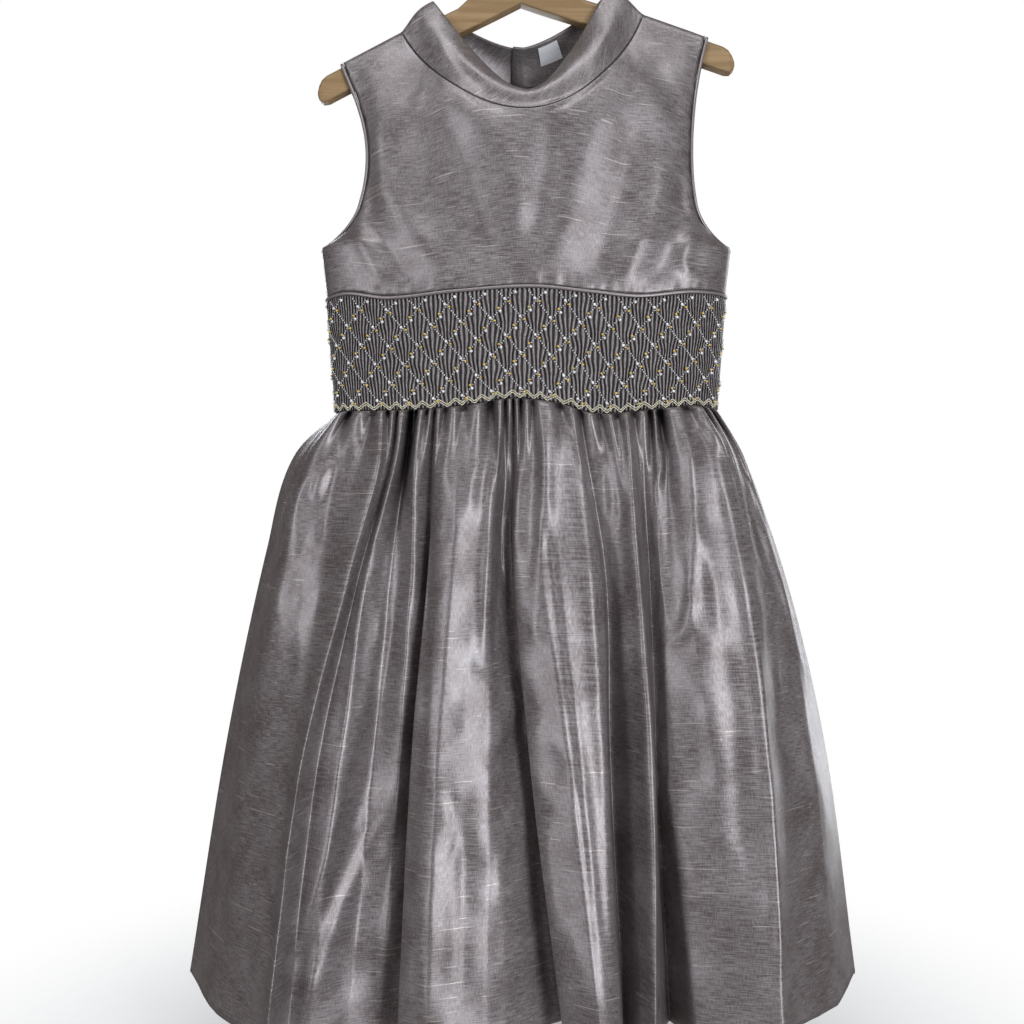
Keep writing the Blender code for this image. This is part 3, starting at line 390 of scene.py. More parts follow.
def crease_rise(points, creases):
    """How far the creases lift the cloth at each point, in metres."""
    across, down = in_photo(points)
    rise = np.zeros(across.shape)
    for crease in creases:
        along = np.array((crease.x2 - crease.x1, crease.y2 - crease.y1), float)
        length = np.linalg.norm(along)
        along /= length
        x, y = across - crease.x1, down - crease.y1
        share = (x * along[0] + y * along[1]) / length
        off = x * along[1] - y * along[0]
        off = off - crease.bow * 4 * np.clip(share, 0, 1) * (1 - np.clip(share, 0, 1))
        width = np.where(off < 0, crease.left, crease.right)
        ends = smoothstep(-0.12, 0.18, share) * (1 - smoothstep(0.82, 1.12, share))
        rise += crease.rise / 1000 * np.exp(-((off / width) ** 2)) * ends
    return rise


# Mesh helpers


def link(name, mesh, material):
    mesh.materials.append(material)
    obj = bpy.data.objects.new(name, mesh)
    bpy.context.scene.collection.objects.link(obj)
    return obj


def stored(mesh, name, values):
    """Keeps a number for each vertex, for a material to read."""
    layer = mesh.attributes.new(name, "FLOAT", "POINT")
    layer.data.foreach_set("value", np.asarray(values, np.float32).ravel())


def grid_mesh(name, points, cloth_map):
    """A bmesh grid moved to rows of points, bottom row first as seen from the outer face."""
    rows, columns = points.shape[:2]
    bm = bmesh.new()
    bmesh.ops.create_grid(bm, x_segments=columns - 1, y_segments=rows - 1, size=1)
    mesh = bpy.data.meshes.new(name)
    bm.to_mesh(mesh)
    bm.free()
    mesh.vertices.foreach_set("co", points.astype(np.float32).ravel())
    corners = np.empty(len(mesh.loops), np.int32)
    mesh.loops.foreach_get("vertex_index", corners)
    layer = mesh.uv_layers.new(name="cloth")
    layer.data.foreach_set("uv", cloth_map.reshape(-1, 2)[corners].astype(np.float32).ravel())
    mesh.update()
    mesh.shade_smooth()
    return mesh


def cloth_piece(name, points, cloth_map, material, thickness):
    """A thin shell of cloth with its outer face through the points."""
    obj = link(name, grid_mesh(name, points, cloth_map), material)
    shell = obj.modifiers.new("cloth_thickness", "SOLIDIFY")
    shell.thickness = thickness
    shell.offset = -1
    shell.use_rim = True
    return obj


def laid_out(points):
    """A cloth map in metres: across along each row from its middle, and down each column."""
    across = np.linalg.norm(np.diff(points, axis=1), axis=2).cumsum(axis=1)
    across = np.concatenate([np.zeros((len(points), 1)), across], axis=1)
    across = across - across[:, -1:] / 2
    down = np.linalg.norm(np.diff(points, axis=0), axis=2).cumsum(axis=0)
    down = np.concatenate([np.zeros((1, points.shape[1])), down], axis=0)
    return np.stack([across, down], axis=-1)


def cord(name, path, radius, material, closed=False):
    """A round cord on a path of points."""
    curve = bpy.data.curves.new(name, "CURVE")
    curve.dimensions = "3D"
    curve.bevel_depth = radius
    curve.bevel_resolution = 3
    curve.use_fill_caps = not closed
    spline = curve.splines.new("POLY")
    spline.points.add(len(path) - 1)
    for point, place in zip(spline.points, path):
        point.co = (*place, 1.0)
    spline.use_cyclic_u = closed
    shape = bpy.data.objects.new(name, curve)
    mesh = bpy.data.meshes.new_from_object(shape)
    bpy.data.objects.remove(shape)
    bpy.data.curves.remove(curve)
    mesh.name = name
    mesh.shade_smooth()
    mesh.materials.clear()
    return link(name, mesh, material)


def fit(obj, slot, *nodes):
    """Hides the solids a piece stands for and hangs the piece from the root; slot, the finish named for
    it, is not used.
    """
    if nodes:
        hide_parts(*nodes)
    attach(obj, "root")


# Materials


class Wire:
    """A socket in shader maths: an expression on wires adds the Math nodes for it."""

    def __init__(self, finish, socket):
        self.finish = finish
        self.socket = socket

    def __add__(self, other):
        return self.finish.maths("ADD", self, other)

    def __radd__(self, other):
        return self.finish.maths("ADD", other, self)

    def __sub__(self, other):
        return self.finish.maths("SUBTRACT", self, other)

    def __rsub__(self, other):
        return self.finish.maths("SUBTRACT", other, self)

    def __mul__(self, other):
        return self.finish.maths("MULTIPLY", self, other)

    def __rmul__(self, other):
        return self.finish.maths("MULTIPLY", other, self)


class Finish:
    """A material in the making."""

    def __init__(self, name):
        self.material = bpy.data.materials.new(name)
        self.material.use_nodes = True
        self.tree = self.material.node_tree
        self.shader = self.tree.nodes["Principled BSDF"]

    def feed(self, socket, value):
        if isinstance(value, Wire):
            self.tree.links.new(value.socket, socket)
        else:
            socket.default_value = value

    def node(self, kind, settings=None, inputs=None, output=0):
        """Any node: its settings first, then the values or links of its sockets."""
        made = self.tree.nodes.new(kind)
        for key, value in (settings or {}).items():
            setattr(made, key, value)
        for key, value in (inputs or {}).items():
            self.feed(made.inputs[key], value)
        return Wire(self, made.outputs[output])

    def maths(self, operation, first, second=0.0):
        return self.node("ShaderNodeMath", {"operation": operation}, {0: first, 1: second})

    def step(self, value, low, high, to_low=0.0, to_high=1.0):
        """Smoothly from one value to another while a wire passes from low to high."""
        places = {"Value": value, "From Min": low, "From Max": high, "To Min": to_low, "To Max": to_high}
        return self.node("ShaderNodeMapRange", {"interpolation_type": "SMOOTHSTEP"}, places)

    def colour(self, first, second, share):
        return self.node("ShaderNodeMix", {"data_type": "RGBA"}, {0: share, 6: first, 7: second}, output=2)

    def place(self, source, scale=(1, 1, 1), turn=0.0):
        """Coordinates of the object, or of the cloth map, stretched by a scale for each axis."""
        if source == "cloth":
            at = self.node("ShaderNodeUVMap", {"uv_map": "cloth"})
        else:
            at = self.node("ShaderNodeTexCoord", output=3)
        return self.node("ShaderNodeMapping", None, {0: at, "Rotation": (0, turn, 0), "Scale": scale})

    def noise(self, at, scale=1.0, detail=2.0, roughness=0.5):
        values = {"Vector": at, "Scale": scale, "Detail": detail, "Roughness": roughness}
        return self.node("ShaderNodeTexNoise", None, values)

    def raise_by(self, height, distance, strength=1.0):
        values = {"Height": height, "Distance": distance, "Strength": strength}
        self.feed(self.shader.inputs["Normal"], self.node("ShaderNodeBump", None, values))

    def set(self, **sockets):
        for key, value in sockets.items():
            self.feed(self.shader.inputs[key.replace("_", " ")], value)


def scaled(colour, share):
    return tuple(channel * share for channel in colour[:3]) + (1.0,)


def slub_lines(finish, row_height, length, low):
    """Thick places in the weft: thin straight lines of uneven length, in rows down the cloth."""
    at = finish.place("cloth")
    across = finish.node("ShaderNodeSeparateXYZ", None, {0: at}, output=0)
    rows = finish.node("ShaderNodeSeparateXYZ", None, {0: at}, output=1) * (1 / row_height)
    row = finish.maths("FLOOR", rows)
    spot = finish.node("ShaderNodeCombineXYZ", None, {0: across * (1 / length), 1: row * 3.7})
    there = finish.step(finish.noise(spot, detail=1.0), low, low + 0.05)
    off = finish.maths("ABSOLUTE", finish.maths("FRACT", rows) - 0.5)
    return there * finish.step(off, 0.12, 0.34, 1.0, 0.0)


def dupion_finish(name, colours, tint=1.0, slub_share=1.0):
    """Silk-like dupion: warm brown warp under cool grey weft, with fine ribs and sparse slubs."""
    finish = Finish(name)
    dark = scaled(colours.cloth_shade, tint)
    light = scaled(colours.cloth_light, tint)
    thread = scaled(colours.slub, tint)
    ribs = finish.noise(finish.place("cloth", (90, 1300, 1)), detail=1.0)
    warp = finish.noise(finish.place("cloth", (1200, 220, 1)), detail=1.0)
    patches = finish.noise(finish.place("cloth", (30, 30, 1)), detail=3.0)
    slub = slub_lines(finish, 0.0012, 0.024, 0.69) + slub_lines(finish, 0.0016, 0.050, 0.67)
    slub = finish.maths("MINIMUM", slub, 1.0) * slub_share
    share = finish.step(ribs * 0.40 + patches * 0.30 + warp * 0.30, 0.36, 0.64)
    base = finish.colour(dark, light, share)
    base = finish.colour(base, thread, slub * 0.5)
    # Painted shade: the base colour darkens where the gathers pinch the cloth in between the puffs.
    pinch = finish.node("ShaderNodeAttribute", {"attribute_name": "pinch"}, output=2)
    deep = scaled(dark, 0.22)
    base = finish.colour(base, deep, finish.step(pinch, 0.25, 1.10, 0.0, 0.92))
    finish.set(Base_Color=base)
    finish.set(Roughness=finish.step(ribs, 0.35, 0.65, 0.36, 0.47))
    finish.set(Metallic=0.55, Specular_IOR_Level=0.7)
    height = ribs * 0.5 + warp * 0.3 + slub * 0.4
    finish.raise_by(height, 0.00010)
    return finish.material


def smocked_finish(name, colours):
    """Dupion drawn into fine pleats, coloured by the pleats' height: painted shade in the valleys and
    painted highlights on the crowns.
    """
    finish = Finish(name)
    pleat = finish.node("ShaderNodeAttribute", {"attribute_name": "pleat"}, output=2)
    threads = finish.noise(finish.place("cloth", (900, 260, 1)), detail=2.0)
    patches = finish.noise(finish.place("cloth", (160, 60, 1)), detail=2.0)
    crown = finish.step(pleat + patches * 0.5 - 0.25, 0.62, 0.98)
    # Painted shade: the pleats' valleys are painted near black and their sides darker, and the crowns
    # paler as a painted highlight.
    painted_valley_shade = scaled(colours.cloth_shade, 0.16)
    side = scaled(colours.cloth_shade, 0.62)
    base = finish.colour(painted_valley_shade, side, finish.step(pleat, 0.25, 0.70))
    crown = crown * finish.step(threads, 0.35, 0.60, 0.35, 0.9)
    base = finish.colour(base, tuple(colours.cloth_light), crown)
    finish.set(Base_Color=base, Metallic=0.45)
    finish.set(Roughness=finish.step(threads, 0.35, 0.65, 0.36, 0.48))
    finish.raise_by(threads, 0.00012)
    return finish.material


def thread_finish(name, colour, roughness=0.45, metallic=0.0):
    """Twisted embroidery thread."""
    finish = Finish(name)
    fibres = finish.noise(finish.place("object", (900, 900, 2400)), detail=1.0)
    deep = scaled(colour, 0.55)
    finish.set(Base_Color=finish.colour(deep, tuple(colour), finish.step(fibres, 0.35, 0.6)))
    finish.set(Roughness=roughness, Metallic=metallic)
    finish.raise_by(fibres, 0.0002)
    return finish.material


def bead_finish(name, colour, metallic, roughness):
    """Glass beads, lined with silver or gold."""
    finish = Finish(name)
    worn = finish.noise(finish.place("object", (260, 260, 260)), detail=1.0)
    deep = scaled(colour, 0.7)
    finish.set(Base_Color=finish.colour(deep, tuple(colour), finish.step(worn, 0.3, 0.7)))
    finish.set(Metallic=metallic, Coat_Weight=0.8, Coat_Roughness=0.05)
    finish.set(Roughness=finish.step(worn, 0.3, 0.7, roughness, roughness + 0.12))
    return finish.material


def wood_finish(name, colours):
    """Smooth pale wood with straight grain along the arms."""
    finish = Finish(name)
    along = finish.place("object", (9, 260, 260), turn=-TILT)
    grain = finish.noise(along, detail=4.0, roughness=0.6)
    streaks = finish.noise(finish.place("object", (22, 700, 900), turn=-TILT), detail=2.0)
    rings = finish.noise(finish.place("object", (3, 60, 110), turn=-TILT), detail=2.0)
    share = finish.step(grain * 0.6 + rings * 0.4, 0.38, 0.62)
    base = finish.colour(tuple(colours.wood_dark), tuple(colours.wood_pale), share)
    base = finish.colour(base, tuple(colours.wood_grain), finish.step(streaks, 0.60, 0.72) * 0.7)
    finish.set(Base_Color=base, Roughness=finish.step(grain, 0.3, 0.7, 0.42, 0.55))
    finish.raise_by(streaks * 0.5 + grain * 0.5, 0.00012)
    return finish.material


def steel_finish(name, colours):
    """Bright plated wire."""
    finish = Finish(name)
    drawn = finish.noise(finish.place("object", (120, 120, 120)), detail=2.0)
    finish.set(Base_Color=tuple(colours.steel), Metallic=1.0)
    finish.set(Roughness=finish.step(drawn, 0.3, 0.7, 0.16, 0.30))
    finish.raise_by(drawn, 0.00004)
    return finish.material


def tape_finish(name, colours):
    """Plain woven tape of the neck label."""
    finish = Finish(name)
    weave = finish.noise(finish.place("cloth", (1500, 1500, 1)), detail=1.0)
    base = tuple(colours.tape)
    shade = scaled(base, 0.82)
    finish.set(Base_Color=finish.colour(shade, base, finish.step(weave, 0.35, 0.6)), Roughness=0.6)
    finish.raise_by(weave, 0.0001)
    return finish.material


# Settings


def length_property(name, description, default):
    return bpy.props.FloatProperty(name=name, description=description, default=default, unit="LENGTH")


class DressSizes(bpy.types.PropertyGroup):
    cloth: length_property("Cloth", "Thickness of the dupion with its lining", 0.0008)
    crumple: length_property("Crumple", "Height of the small wrinkles all over the cloth", 0.0015)
    pucker: length_property("Pucker", "Height of the short wrinkles along the seams", 0.0011)
    gather_depth: length_property("Gather depth", "Depth of the gathers just under the waist", 0.0115)
    pleats: bpy.props.IntProperty(
        name="Pleats", description="Pleats across the smocked band", default=112, min=20, max=200
    )
    pleat_rise: length_property("Pleat rise", "Height of a smocking pleat", 0.0024)
    lattice: length_property("Lattice", "Distance between lines of cable stitch", 0.0226)
    stitch: length_property("Stitch", "Length of one cable stitch", 0.0015)
    bead: length_property("Bead", "Radius of a bead", 0.00125)
    wave: length_property("Wave", "Length of one wave of the stitching under the smocking", 0.0115)


def colour_property(name, description, default):
    return bpy.props.FloatVectorProperty(
        name=name, description=description, default=(*default, 1.0), size=4, subtype="COLOR", min=0, max=1
    )


class DressColours(bpy.types.PropertyGroup):
    cloth_shade: colour_property("Cloth shade", "Warm brown of the warp", (0.152, 0.121, 0.119))
    cloth_light: colour_property("Cloth light", "Cool grey of the weft", (0.318, 0.291, 0.293))
    slub: colour_property("Slub", "Thick pale threads in the weft", (0.60, 0.54, 0.48))
    # Painted shadow of the seam ditches, laid on as thin dark cords.
    seam: colour_property("Seam", "Dark line of a seam", (0.030, 0.024, 0.022))
    stitch: colour_property("Stitch", "White thread of the cable stitch", (0.93, 0.93, 0.92))
    wave_thread: colour_property("Wave thread", "Cream thread of the wave stitching", (0.92, 0.86, 0.66))
    silver_bead: colour_property("Silver bead", "Silver-lined beads", (0.96, 0.96, 0.96))
    gold_bead: colour_property("Gold bead", "Gold-lined beads", (0.86, 0.58, 0.10))
    wood_pale: colour_property("Pale wood", "Ground of the wood", (0.345, 0.222, 0.106))
    wood_dark: colour_property("Dark wood", "Broad rings of the wood", (0.255, 0.155, 0.068))
    wood_grain: colour_property("Grain", "Fine grain lines", (0.22, 0.115, 0.045))
    steel: colour_property("Steel", "Plated wire", (0.66, 0.66, 0.67))
    tape: colour_property("Tape", "Neck label", (0.86, 0.86, 0.88))


# Pieces

MATERIALS = {}
SHELLS = {}


def finish_node(node, name):
    """Gives a solid that stays in the picture its material."""
    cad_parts[node].material_slots[0].material = MATERIALS[name]


class DRESS_OT_finishes(bpy.types.Operator):
    """Makes the materials and gives the hanger its own"""

    bl_idname = "dress.finishes"
    bl_label = "Finishes"

    def execute(self, context):
        colours = context.scene.dress_colours
        MATERIALS["dupion"] = dupion_finish("dupion", colours)
        # The self-fabric piping is the dupion painted a quarter lighter: a painted highlight on the raised
        # cords.
        MATERIALS["piping"] = dupion_finish("piping", colours, tint=1.25, slub_share=0.4)
        MATERIALS["smocked_dupion"] = smocked_finish("smocked_dupion", colours)
        # Dark cords in the seam ditches: painted shadow.
        MATERIALS["seam_thread"] = thread_finish("seam_thread", colours.seam, roughness=0.7)
        MATERIALS["cable_thread"] = thread_finish("cable_thread", colours.stitch)
        cream, silver, gold = colours.wave_thread, colours.silver_bead, colours.gold_bead
        MATERIALS["wave_thread"] = thread_finish("wave_thread", cream, roughness=0.4, metallic=0.25)
        MATERIALS["silver_beads"] = bead_finish("silver_beads", silver, metallic=0.15, roughness=0.22)
        MATERIALS["gold_beads"] = bead_finish("gold_beads", gold, metallic=0.40, roughness=0.25)
        MATERIALS["oiled_wood"] = wood_finish("oiled_wood", colours)
        MATERIALS["plated_steel"] = steel_finish("plated_steel", colours)
        MATERIALS["label_tape"] = tape_finish("label_tape", colours)
        finish_node("hanger_wood", "oiled_wood")
        finish_node("hanger_hook", "plated_steel")
        return {"FINISHED"}


SIDE_ROWS = 14
ARMHOLE_ROWS = 84
SHOULDER_COLUMNS = 20
NECK_STEPS = 44
BODICE_CRUMPLE = 0.45
NECK_SHARES = np.sin(np.pi / 2 * np.linspace(-1, 1, 2 * NECK_STEPS + 1))


def panel_points(tops, bottoms, left, right):
    """Rows of points in the flat between four edges."""
    tops, bottoms, left, right = (np.asarray(edge, float) for edge in (tops, bottoms, left, right))
    across = lengths_along(tops) / lengths_along(tops)[-1]
    up = lengths_along(left) / lengths_along(left)[-1]
    rows = []
    for r, v in enumerate(up):
        row = mix(bottoms, tops, v)
        row = row + np.outer(1 - across, left[r] - mix(bottoms[0], tops[0], v))
        rows.append(row + np.outer(across, right[r] - mix(bottoms[-1], tops[-1], v)))
    return np.array(rows)


def side_edge(sign, bottom_z, side_rows):
    seam_z = np.linspace(bottom_z, UNDERARM_Z, side_rows + 1)[:-1]
    seam = np.stack([sign * side_x(seam_z), seam_z], axis=1)
    hole_z = np.linspace(UNDERARM_Z, ARMHOLE[0].z, 200)
    hole = np.stack([sign * side_x(hole_z), hole_z], axis=1)
    return np.concatenate([seam, points_at_shares(hole, np.linspace(0, 1, ARMHOLE_ROWS))])


def shoulder_points(sign):
    across = np.linspace(SHOULDER_TIP_X, NECK_HALF_WIDTH, SHOULDER_COLUMNS + 1)[:-1]
    return np.stack([sign * across, shoulder_z(across)], axis=1)


def front_flat():
    neck = NECK_SHARES * NECK_HALF_WIDTH
    neck = np.stack([neck, neckline_z(neck, NECK_FRONT_DROP)], axis=1)
    tops = np.concatenate([shoulder_points(-1), neck, shoulder_points(1)[::-1]])
    x = np.linspace(-WAIST_TOP_X, WAIST_TOP_X, len(tops))
    z = WAIST_TOP_Z + read_table(TOP_SEAM, "x", "rise", x) + PIPING_RADIUS + SEAM_GAP
    bottoms = np.stack([x, z], axis=1)
    left = side_edge(-1, z[0], SIDE_ROWS)
    right = side_edge(1, z[-1], SIDE_ROWS)
    return panel_points(tops, bottoms, left, right)


def back_flat(sign, lap_x):
    neck = np.append(sign * NECK_HALF_WIDTH * NECK_SHARES[: NECK_STEPS - 1 : -1], lap_x)
    neck = np.stack([neck, neckline_z(neck, NECK_BACK_DROP)], axis=1)
    tops = np.concatenate([shoulder_points(sign), neck])
    x = np.linspace(sign * WAIST_X, lap_x, len(tops))
    bottoms = np.stack([x, np.full(len(x), WAIST_Z + SEAM_GAP)], axis=1)
    edge = side_edge(sign, WAIST_Z + SEAM_GAP, 2 * SIDE_ROWS)
    up = lengths_along(edge) / lengths_along(edge)[-1]
    lap = np.stack([np.full(len(up), lap_x), mix(bottoms[-1][1], tops[-1][1], up)], axis=1)
    return panel_points(tops, bottoms, edge, lap)


def lap_offset(x, step):
    return step * (1 - smoothstep(0.012, 0.045, np.abs(x)))


def worn(flat, side, step=0.0):
    """A flat panel given its depth and hung in its place."""
    sign = -1 if side == "front" else 1
    x, z = flat[..., 0], flat[..., 1]
    out = np.maximum(SEAM_GAP / 2, body_reach(x, z, side) + lap_offset(x, step))
    return hung(x, sign * out, z)


def edge_fade(rows, columns, reach=6):
    """0 at a panel's edges and 1 further in, so that creases leave the seams in place."""
    r = np.minimum(np.arange(rows), np.arange(rows)[::-1])[:, None]
    c = np.minimum(np.arange(columns), np.arange(columns)[::-1])[None, :]
    return smoothstep(0, reach, r) * smoothstep(0, reach, c)


# Wrinkles all over a cloth: how high, which noise, whether sharp-crested, and waves in a metre
# along the two ways of the noise, for the way across the cloth and the way down it
Wrinkle = namedtuple("Wrinkle", "name weight seed sharp u_across u_down v_across v_down")
SOFT_WRINKLES = (
    Wrinkle("broad", 1.5, 0, False, 16, 0, 0, 9),
    Wrinkle("crisp", 0.45, 1, True, 34, 0, 0, 22),
    Wrinkle("fine", 0.22, 2, False, 85, 0, 0, 60),
)
SKIRT_WRINKLES = (
    Wrinkle("broad", 2.8, 0, False, 9, 0, 0, 9),
    Wrinkle("slanting", 1.7, 1, False, 20, 11, -5, 15),
    Wrinkle("folds", 1.3, 4, True, 12, -7, 4, 9),
    Wrinkle("crisp", 0.70, 2, True, 30, 12, -9, 22),
    Wrinkle("fine", 0.22, 3, False, 95, 0, 0, 60),
)


def wrinkled(cloth_map, depth, wrinkles, seed):
    """How high wrinkles lift each point of the cloth, in metres."""
    across, down = cloth_map[..., 0], cloth_map[..., 1]
    height = np.zeros(across.shape)
    for wrinkle in wrinkles:
        u = across * wrinkle.u_across + down * wrinkle.u_down
        v = across * wrinkle.v_across + down * wrinkle.v_down
        bumps = soft_noise(np.stack([u, v], axis=-1), seed + wrinkle.seed)
        height += wrinkle.weight * (ridged(bumps) if wrinkle.sharp else bumps)
    return depth * height


def seam_puckers(points, cloth_map, depth, seed):
    """Short wrinkles that a line of stitches draws into the cloth beside it, in metres."""
    side_edge_gap = np.abs(cloth_map[..., 0]) - np.abs(cloth_map[..., 0]).max(axis=1)[:, None]
    from_side = np.exp(-((side_edge_gap / 0.010) ** 2))
    from_waist = np.exp(-(((cloth_map[..., 1]) / 0.008) ** 2))
    along_side = soft_noise(np.stack([points[..., 2] * 210, cloth_map[..., 0] * 25], axis=-1), seed + 60)
    along_waist = soft_noise(np.stack([points[..., 0] * 190, cloth_map[..., 1] * 25], axis=-1), seed + 70)
    return depth * (from_side * along_side + from_waist * along_waist)


class DRESS_OT_bodice(bpy.types.Operator):
    """Makes the front bodice and the two halves of the back that lap at the centre"""

    bl_idname = "dress.bodice"
    bl_label = "Bodice"

    def execute(self, context):
        sizes = context.scene.dress_sizes
        front = worn(front_flat(), "front")
        back_left = worn(back_flat(-1, OVERLAP_LEFT_X), "back", BODICE_LAP_STEP)[:, ::-1]
        back_right = worn(back_flat(1, OVERLAP_RIGHT_X), "back", -BODICE_LAP_STEP)
        SHELLS.update(front=front.copy(), back_left=back_left, back_right=back_right)
        for name, points, sign, seed in (
            ("bodice_front", front, -1, 3),
            ("bodice_back_left", back_left, 1, 5),
            ("bodice_back_right", back_right, 1, 7),
        ):
            cloth_map = laid_out(points)
            fade = edge_fade(*points.shape[:2])
            lift = wrinkled(cloth_map, BODICE_CRUMPLE * sizes.crumple, SOFT_WRINKLES, seed)
            if sign < 0:
                lift = lift + crease_rise(points, BODICE_CREASES)
            lift = lift * fade + seam_puckers(points, cloth_map, sizes.pucker, seed)
            points = points.copy()
            points[..., 1] += sign * lift
            obj = cloth_piece(f"{name}_cloth", points, cloth_map, MATERIALS["dupion"], sizes.cloth)
            fit(obj, "dupion", name)
        return {"FINISHED"}


def beside_edge(rows, column, inner_column, first_row):
    """Points of a cord along a panel's side edge, level with the cloth and just clear of it."""
    edge = rows[first_row:, column]
    along = np.gradient(edge, axis=0)
    along /= np.linalg.norm(along, axis=1)[:, None]
    off = edge - rows[first_row:, inner_column]
    off -= along * (off * along).sum(axis=1)[:, None]
    off /= np.linalg.norm(off, axis=1)[:, None]
    normal = np.cross(off, along)
    normal /= np.linalg.norm(normal, axis=1)[:, None]
    if column == 0:
        normal = -normal
    return edge + off * (PIPING_RADIUS + PIPING_GAP) - normal * PIPING_SINK


# Thin dark cords laid in the seam ditches as painted shadow.
DITCH_SHADOW_RADIUS = 0.00032


class DRESS_OT_pipings(bpy.types.Operator):
    """Makes the piped edges of the armholes and the piping over the smocking"""

    bl_idname = "dress.pipings"
    bl_label = "Pipings"

    def execute(self, context):
        front, left, right = SHELLS["front"], SHELLS["back_left"], SHELLS["back_right"]
        loops = (
            ("left", beside_edge(front, 0, 1, SIDE_ROWS), beside_edge(left, -1, -2, 2 * SIDE_ROWS)),
            ("right", beside_edge(front, -1, -2, SIDE_ROWS), beside_edge(right, 0, 1, 2 * SIDE_ROWS)),
        )
        for name, up_front, up_back in loops:
            top = (up_front[-1] + up_back[-1]) / 2
            bottom = (up_front[0] + up_back[0]) / 2
            ring = np.array([bottom, *up_front[1:-1], top, *up_back[-2:0:-1]])
            obj = cord(f"armhole_cord_{name}", ring, PIPING_RADIUS, MATERIALS["piping"], closed=True)
            fit(obj, "piping", f"armhole_piping_{name}")
        x = np.linspace(-WAIST_TOP_X, WAIST_TOP_X, 240)
        z = WAIST_TOP_Z + read_table(TOP_SEAM, "x", "rise", x)
        path = hung(x, -np.maximum(PIPING_RADIUS + SEAM_GAP, body_reach(x, z, "front")), z)
        obj = cord("waist_cord", path, PIPING_RADIUS, MATERIALS["piping"])
        fit(obj, "piping", "waist_piping")
        # Dark cords beside the pipings and along the neck seam: painted shadow of the ditches.
        ditch_shadows = [
            ("armhole_ditch_left", np.array([*front[SIDE_ROWS:, 0], *left[: 2 * SIDE_ROWS : -1, -1]])),
            ("armhole_ditch_right", np.array([*front[SIDE_ROWS:, -1], *right[: 2 * SIDE_ROWS : -1, 0]])),
            ("waist_ditch", front[0]),
            ("neck_ditch", front[-1, SHOULDER_COLUMNS:-SHOULDER_COLUMNS]),
        ]
        for name, path in ditch_shadows:
            fit(cord(name, path, DITCH_SHADOW_RADIUS, MATERIALS["seam_thread"]), "piping")
        return {"FINISHED"}


COLLAR_ROWS = 30
COLLAR_FRONT_ROLL = 0.0085
COLLAR_SIDE_ROLL = 0.0032
COLLAR_CREST = 1.45
BIAS_SHRINK = 0.707
COLLAR_CRUMPLE = 0.35
COLLAR_SEED = 11


def collar_point(share, side_sign, height):
    """Points on the collar's outer face: shares across, -1 for the front and 1 for the back,
    and height from 0 at the neck seam to 1 at the fold along the top."""
    front = side_sign < 0
    forward = (1 - np.abs(share) ** 2.6) ** (1 / 2.6)
    base_x = NECK_HALF_WIDTH * share
    base_z = neckline_z(base_x, np.where(front, NECK_FRONT_DROP, NECK_BACK_DROP))
    base_out = np.where(front, body_reach(base_x, base_z, "front"), body_reach(base_x, base_z, "back"))
    top_middle = np.where(front, COLLAR_TOP_FRONT_Z, COLLAR_TOP_BACK_Z)
    top_z = mix(top_middle, COLLAR_TOP_Z, np.abs(share) ** 1.5)
    top_out = COLLAR_TOP_REACH * forward**0.8
    roll = np.where(front, mix(COLLAR_SIDE_ROLL, COLLAR_FRONT_ROLL, forward**2), COLLAR_SIDE_ROLL)
    roll = roll * np.sin(np.pi * height**COLLAR_CREST)
    x = mix(base_x - SEAM_GAP * share, COLLAR_TOP_HALF_WIDTH * share, height) + roll * 0.8 * share
    out = mix(base_out, top_out, height) + roll * forward
    return x, side_sign * out, mix(base_z, top_z, height) + roll * 0.35


def collar_place(share, side_sign, height, step):
    x, y, z = collar_point(share, side_sign, height)
    return hung(x, y + lap_offset(x, step), z + SEAM_GAP)


def collar_stations():
    """Share across, side and outward step of each column, from the outer end at the centre back,
    round by the left and the front, to the inner end."""
    back = NECK_SHARES[NECK_STEPS:]
    inner_end, outer_end = OVERLAP_RIGHT_X / NECK_HALF_WIDTH, OVERLAP_LEFT_X / NECK_HALF_WIDTH
    first = [(share, 1, -COLLAR_LAP_STEP) for share in (inner_end, *back[:-1])]
    front = [(share, -1, 0.0) for share in NECK_SHARES[::-1]]
    last = [(share, 1, COLLAR_LAP_STEP) for share in (*(-back[-2::-1]), outer_end)]
    return np.array(first + front + last)[::-1]


class DRESS_OT_collar(bpy.types.Operator):
    """Makes the stand collar, a folded band that leans in and laps at the centre back"""

    bl_idname = "dress.collar"
    bl_label = "Collar"

    def execute(self, context):
        sizes = context.scene.dress_sizes
        share, side_sign, step = collar_stations().T
        heights = np.linspace(0, 1, COLLAR_ROWS + 1)[:, None]
        points = collar_place(share[None, :], side_sign[None, :], heights, step[None, :])
        cloth_map = laid_out(points)
        lift = wrinkled(cloth_map, COLLAR_CRUMPLE * sizes.crumple, SOFT_WRINKLES, COLLAR_SEED)
        lift = lift + np.where(side_sign < 0, crease_rise(points, COLLAR_CREASES), 0)
        points[..., 1] += side_sign * lift * edge_fade(*points.shape[:2], 3)
        across, up = cloth_map[..., 0], cloth_map[..., 1]
        on_bias = np.stack([across + up, up - across], axis=-1) * BIAS_SHRINK
        obj = cloth_piece("collar_cloth", points, on_bias, MATERIALS["dupion"], 2 * sizes.cloth)
        fit(obj, "dupion", "collar")
        return {"FINISHED"}


BAND_ROWS = 60
PLEAT_COLUMNS = 6
PLEAT_PULL = 0.0009
PLEAT_WANDER = 0.0011
PLEAT_ROUNDNESS = 0.65
BAND_HEIGHT = 0.09


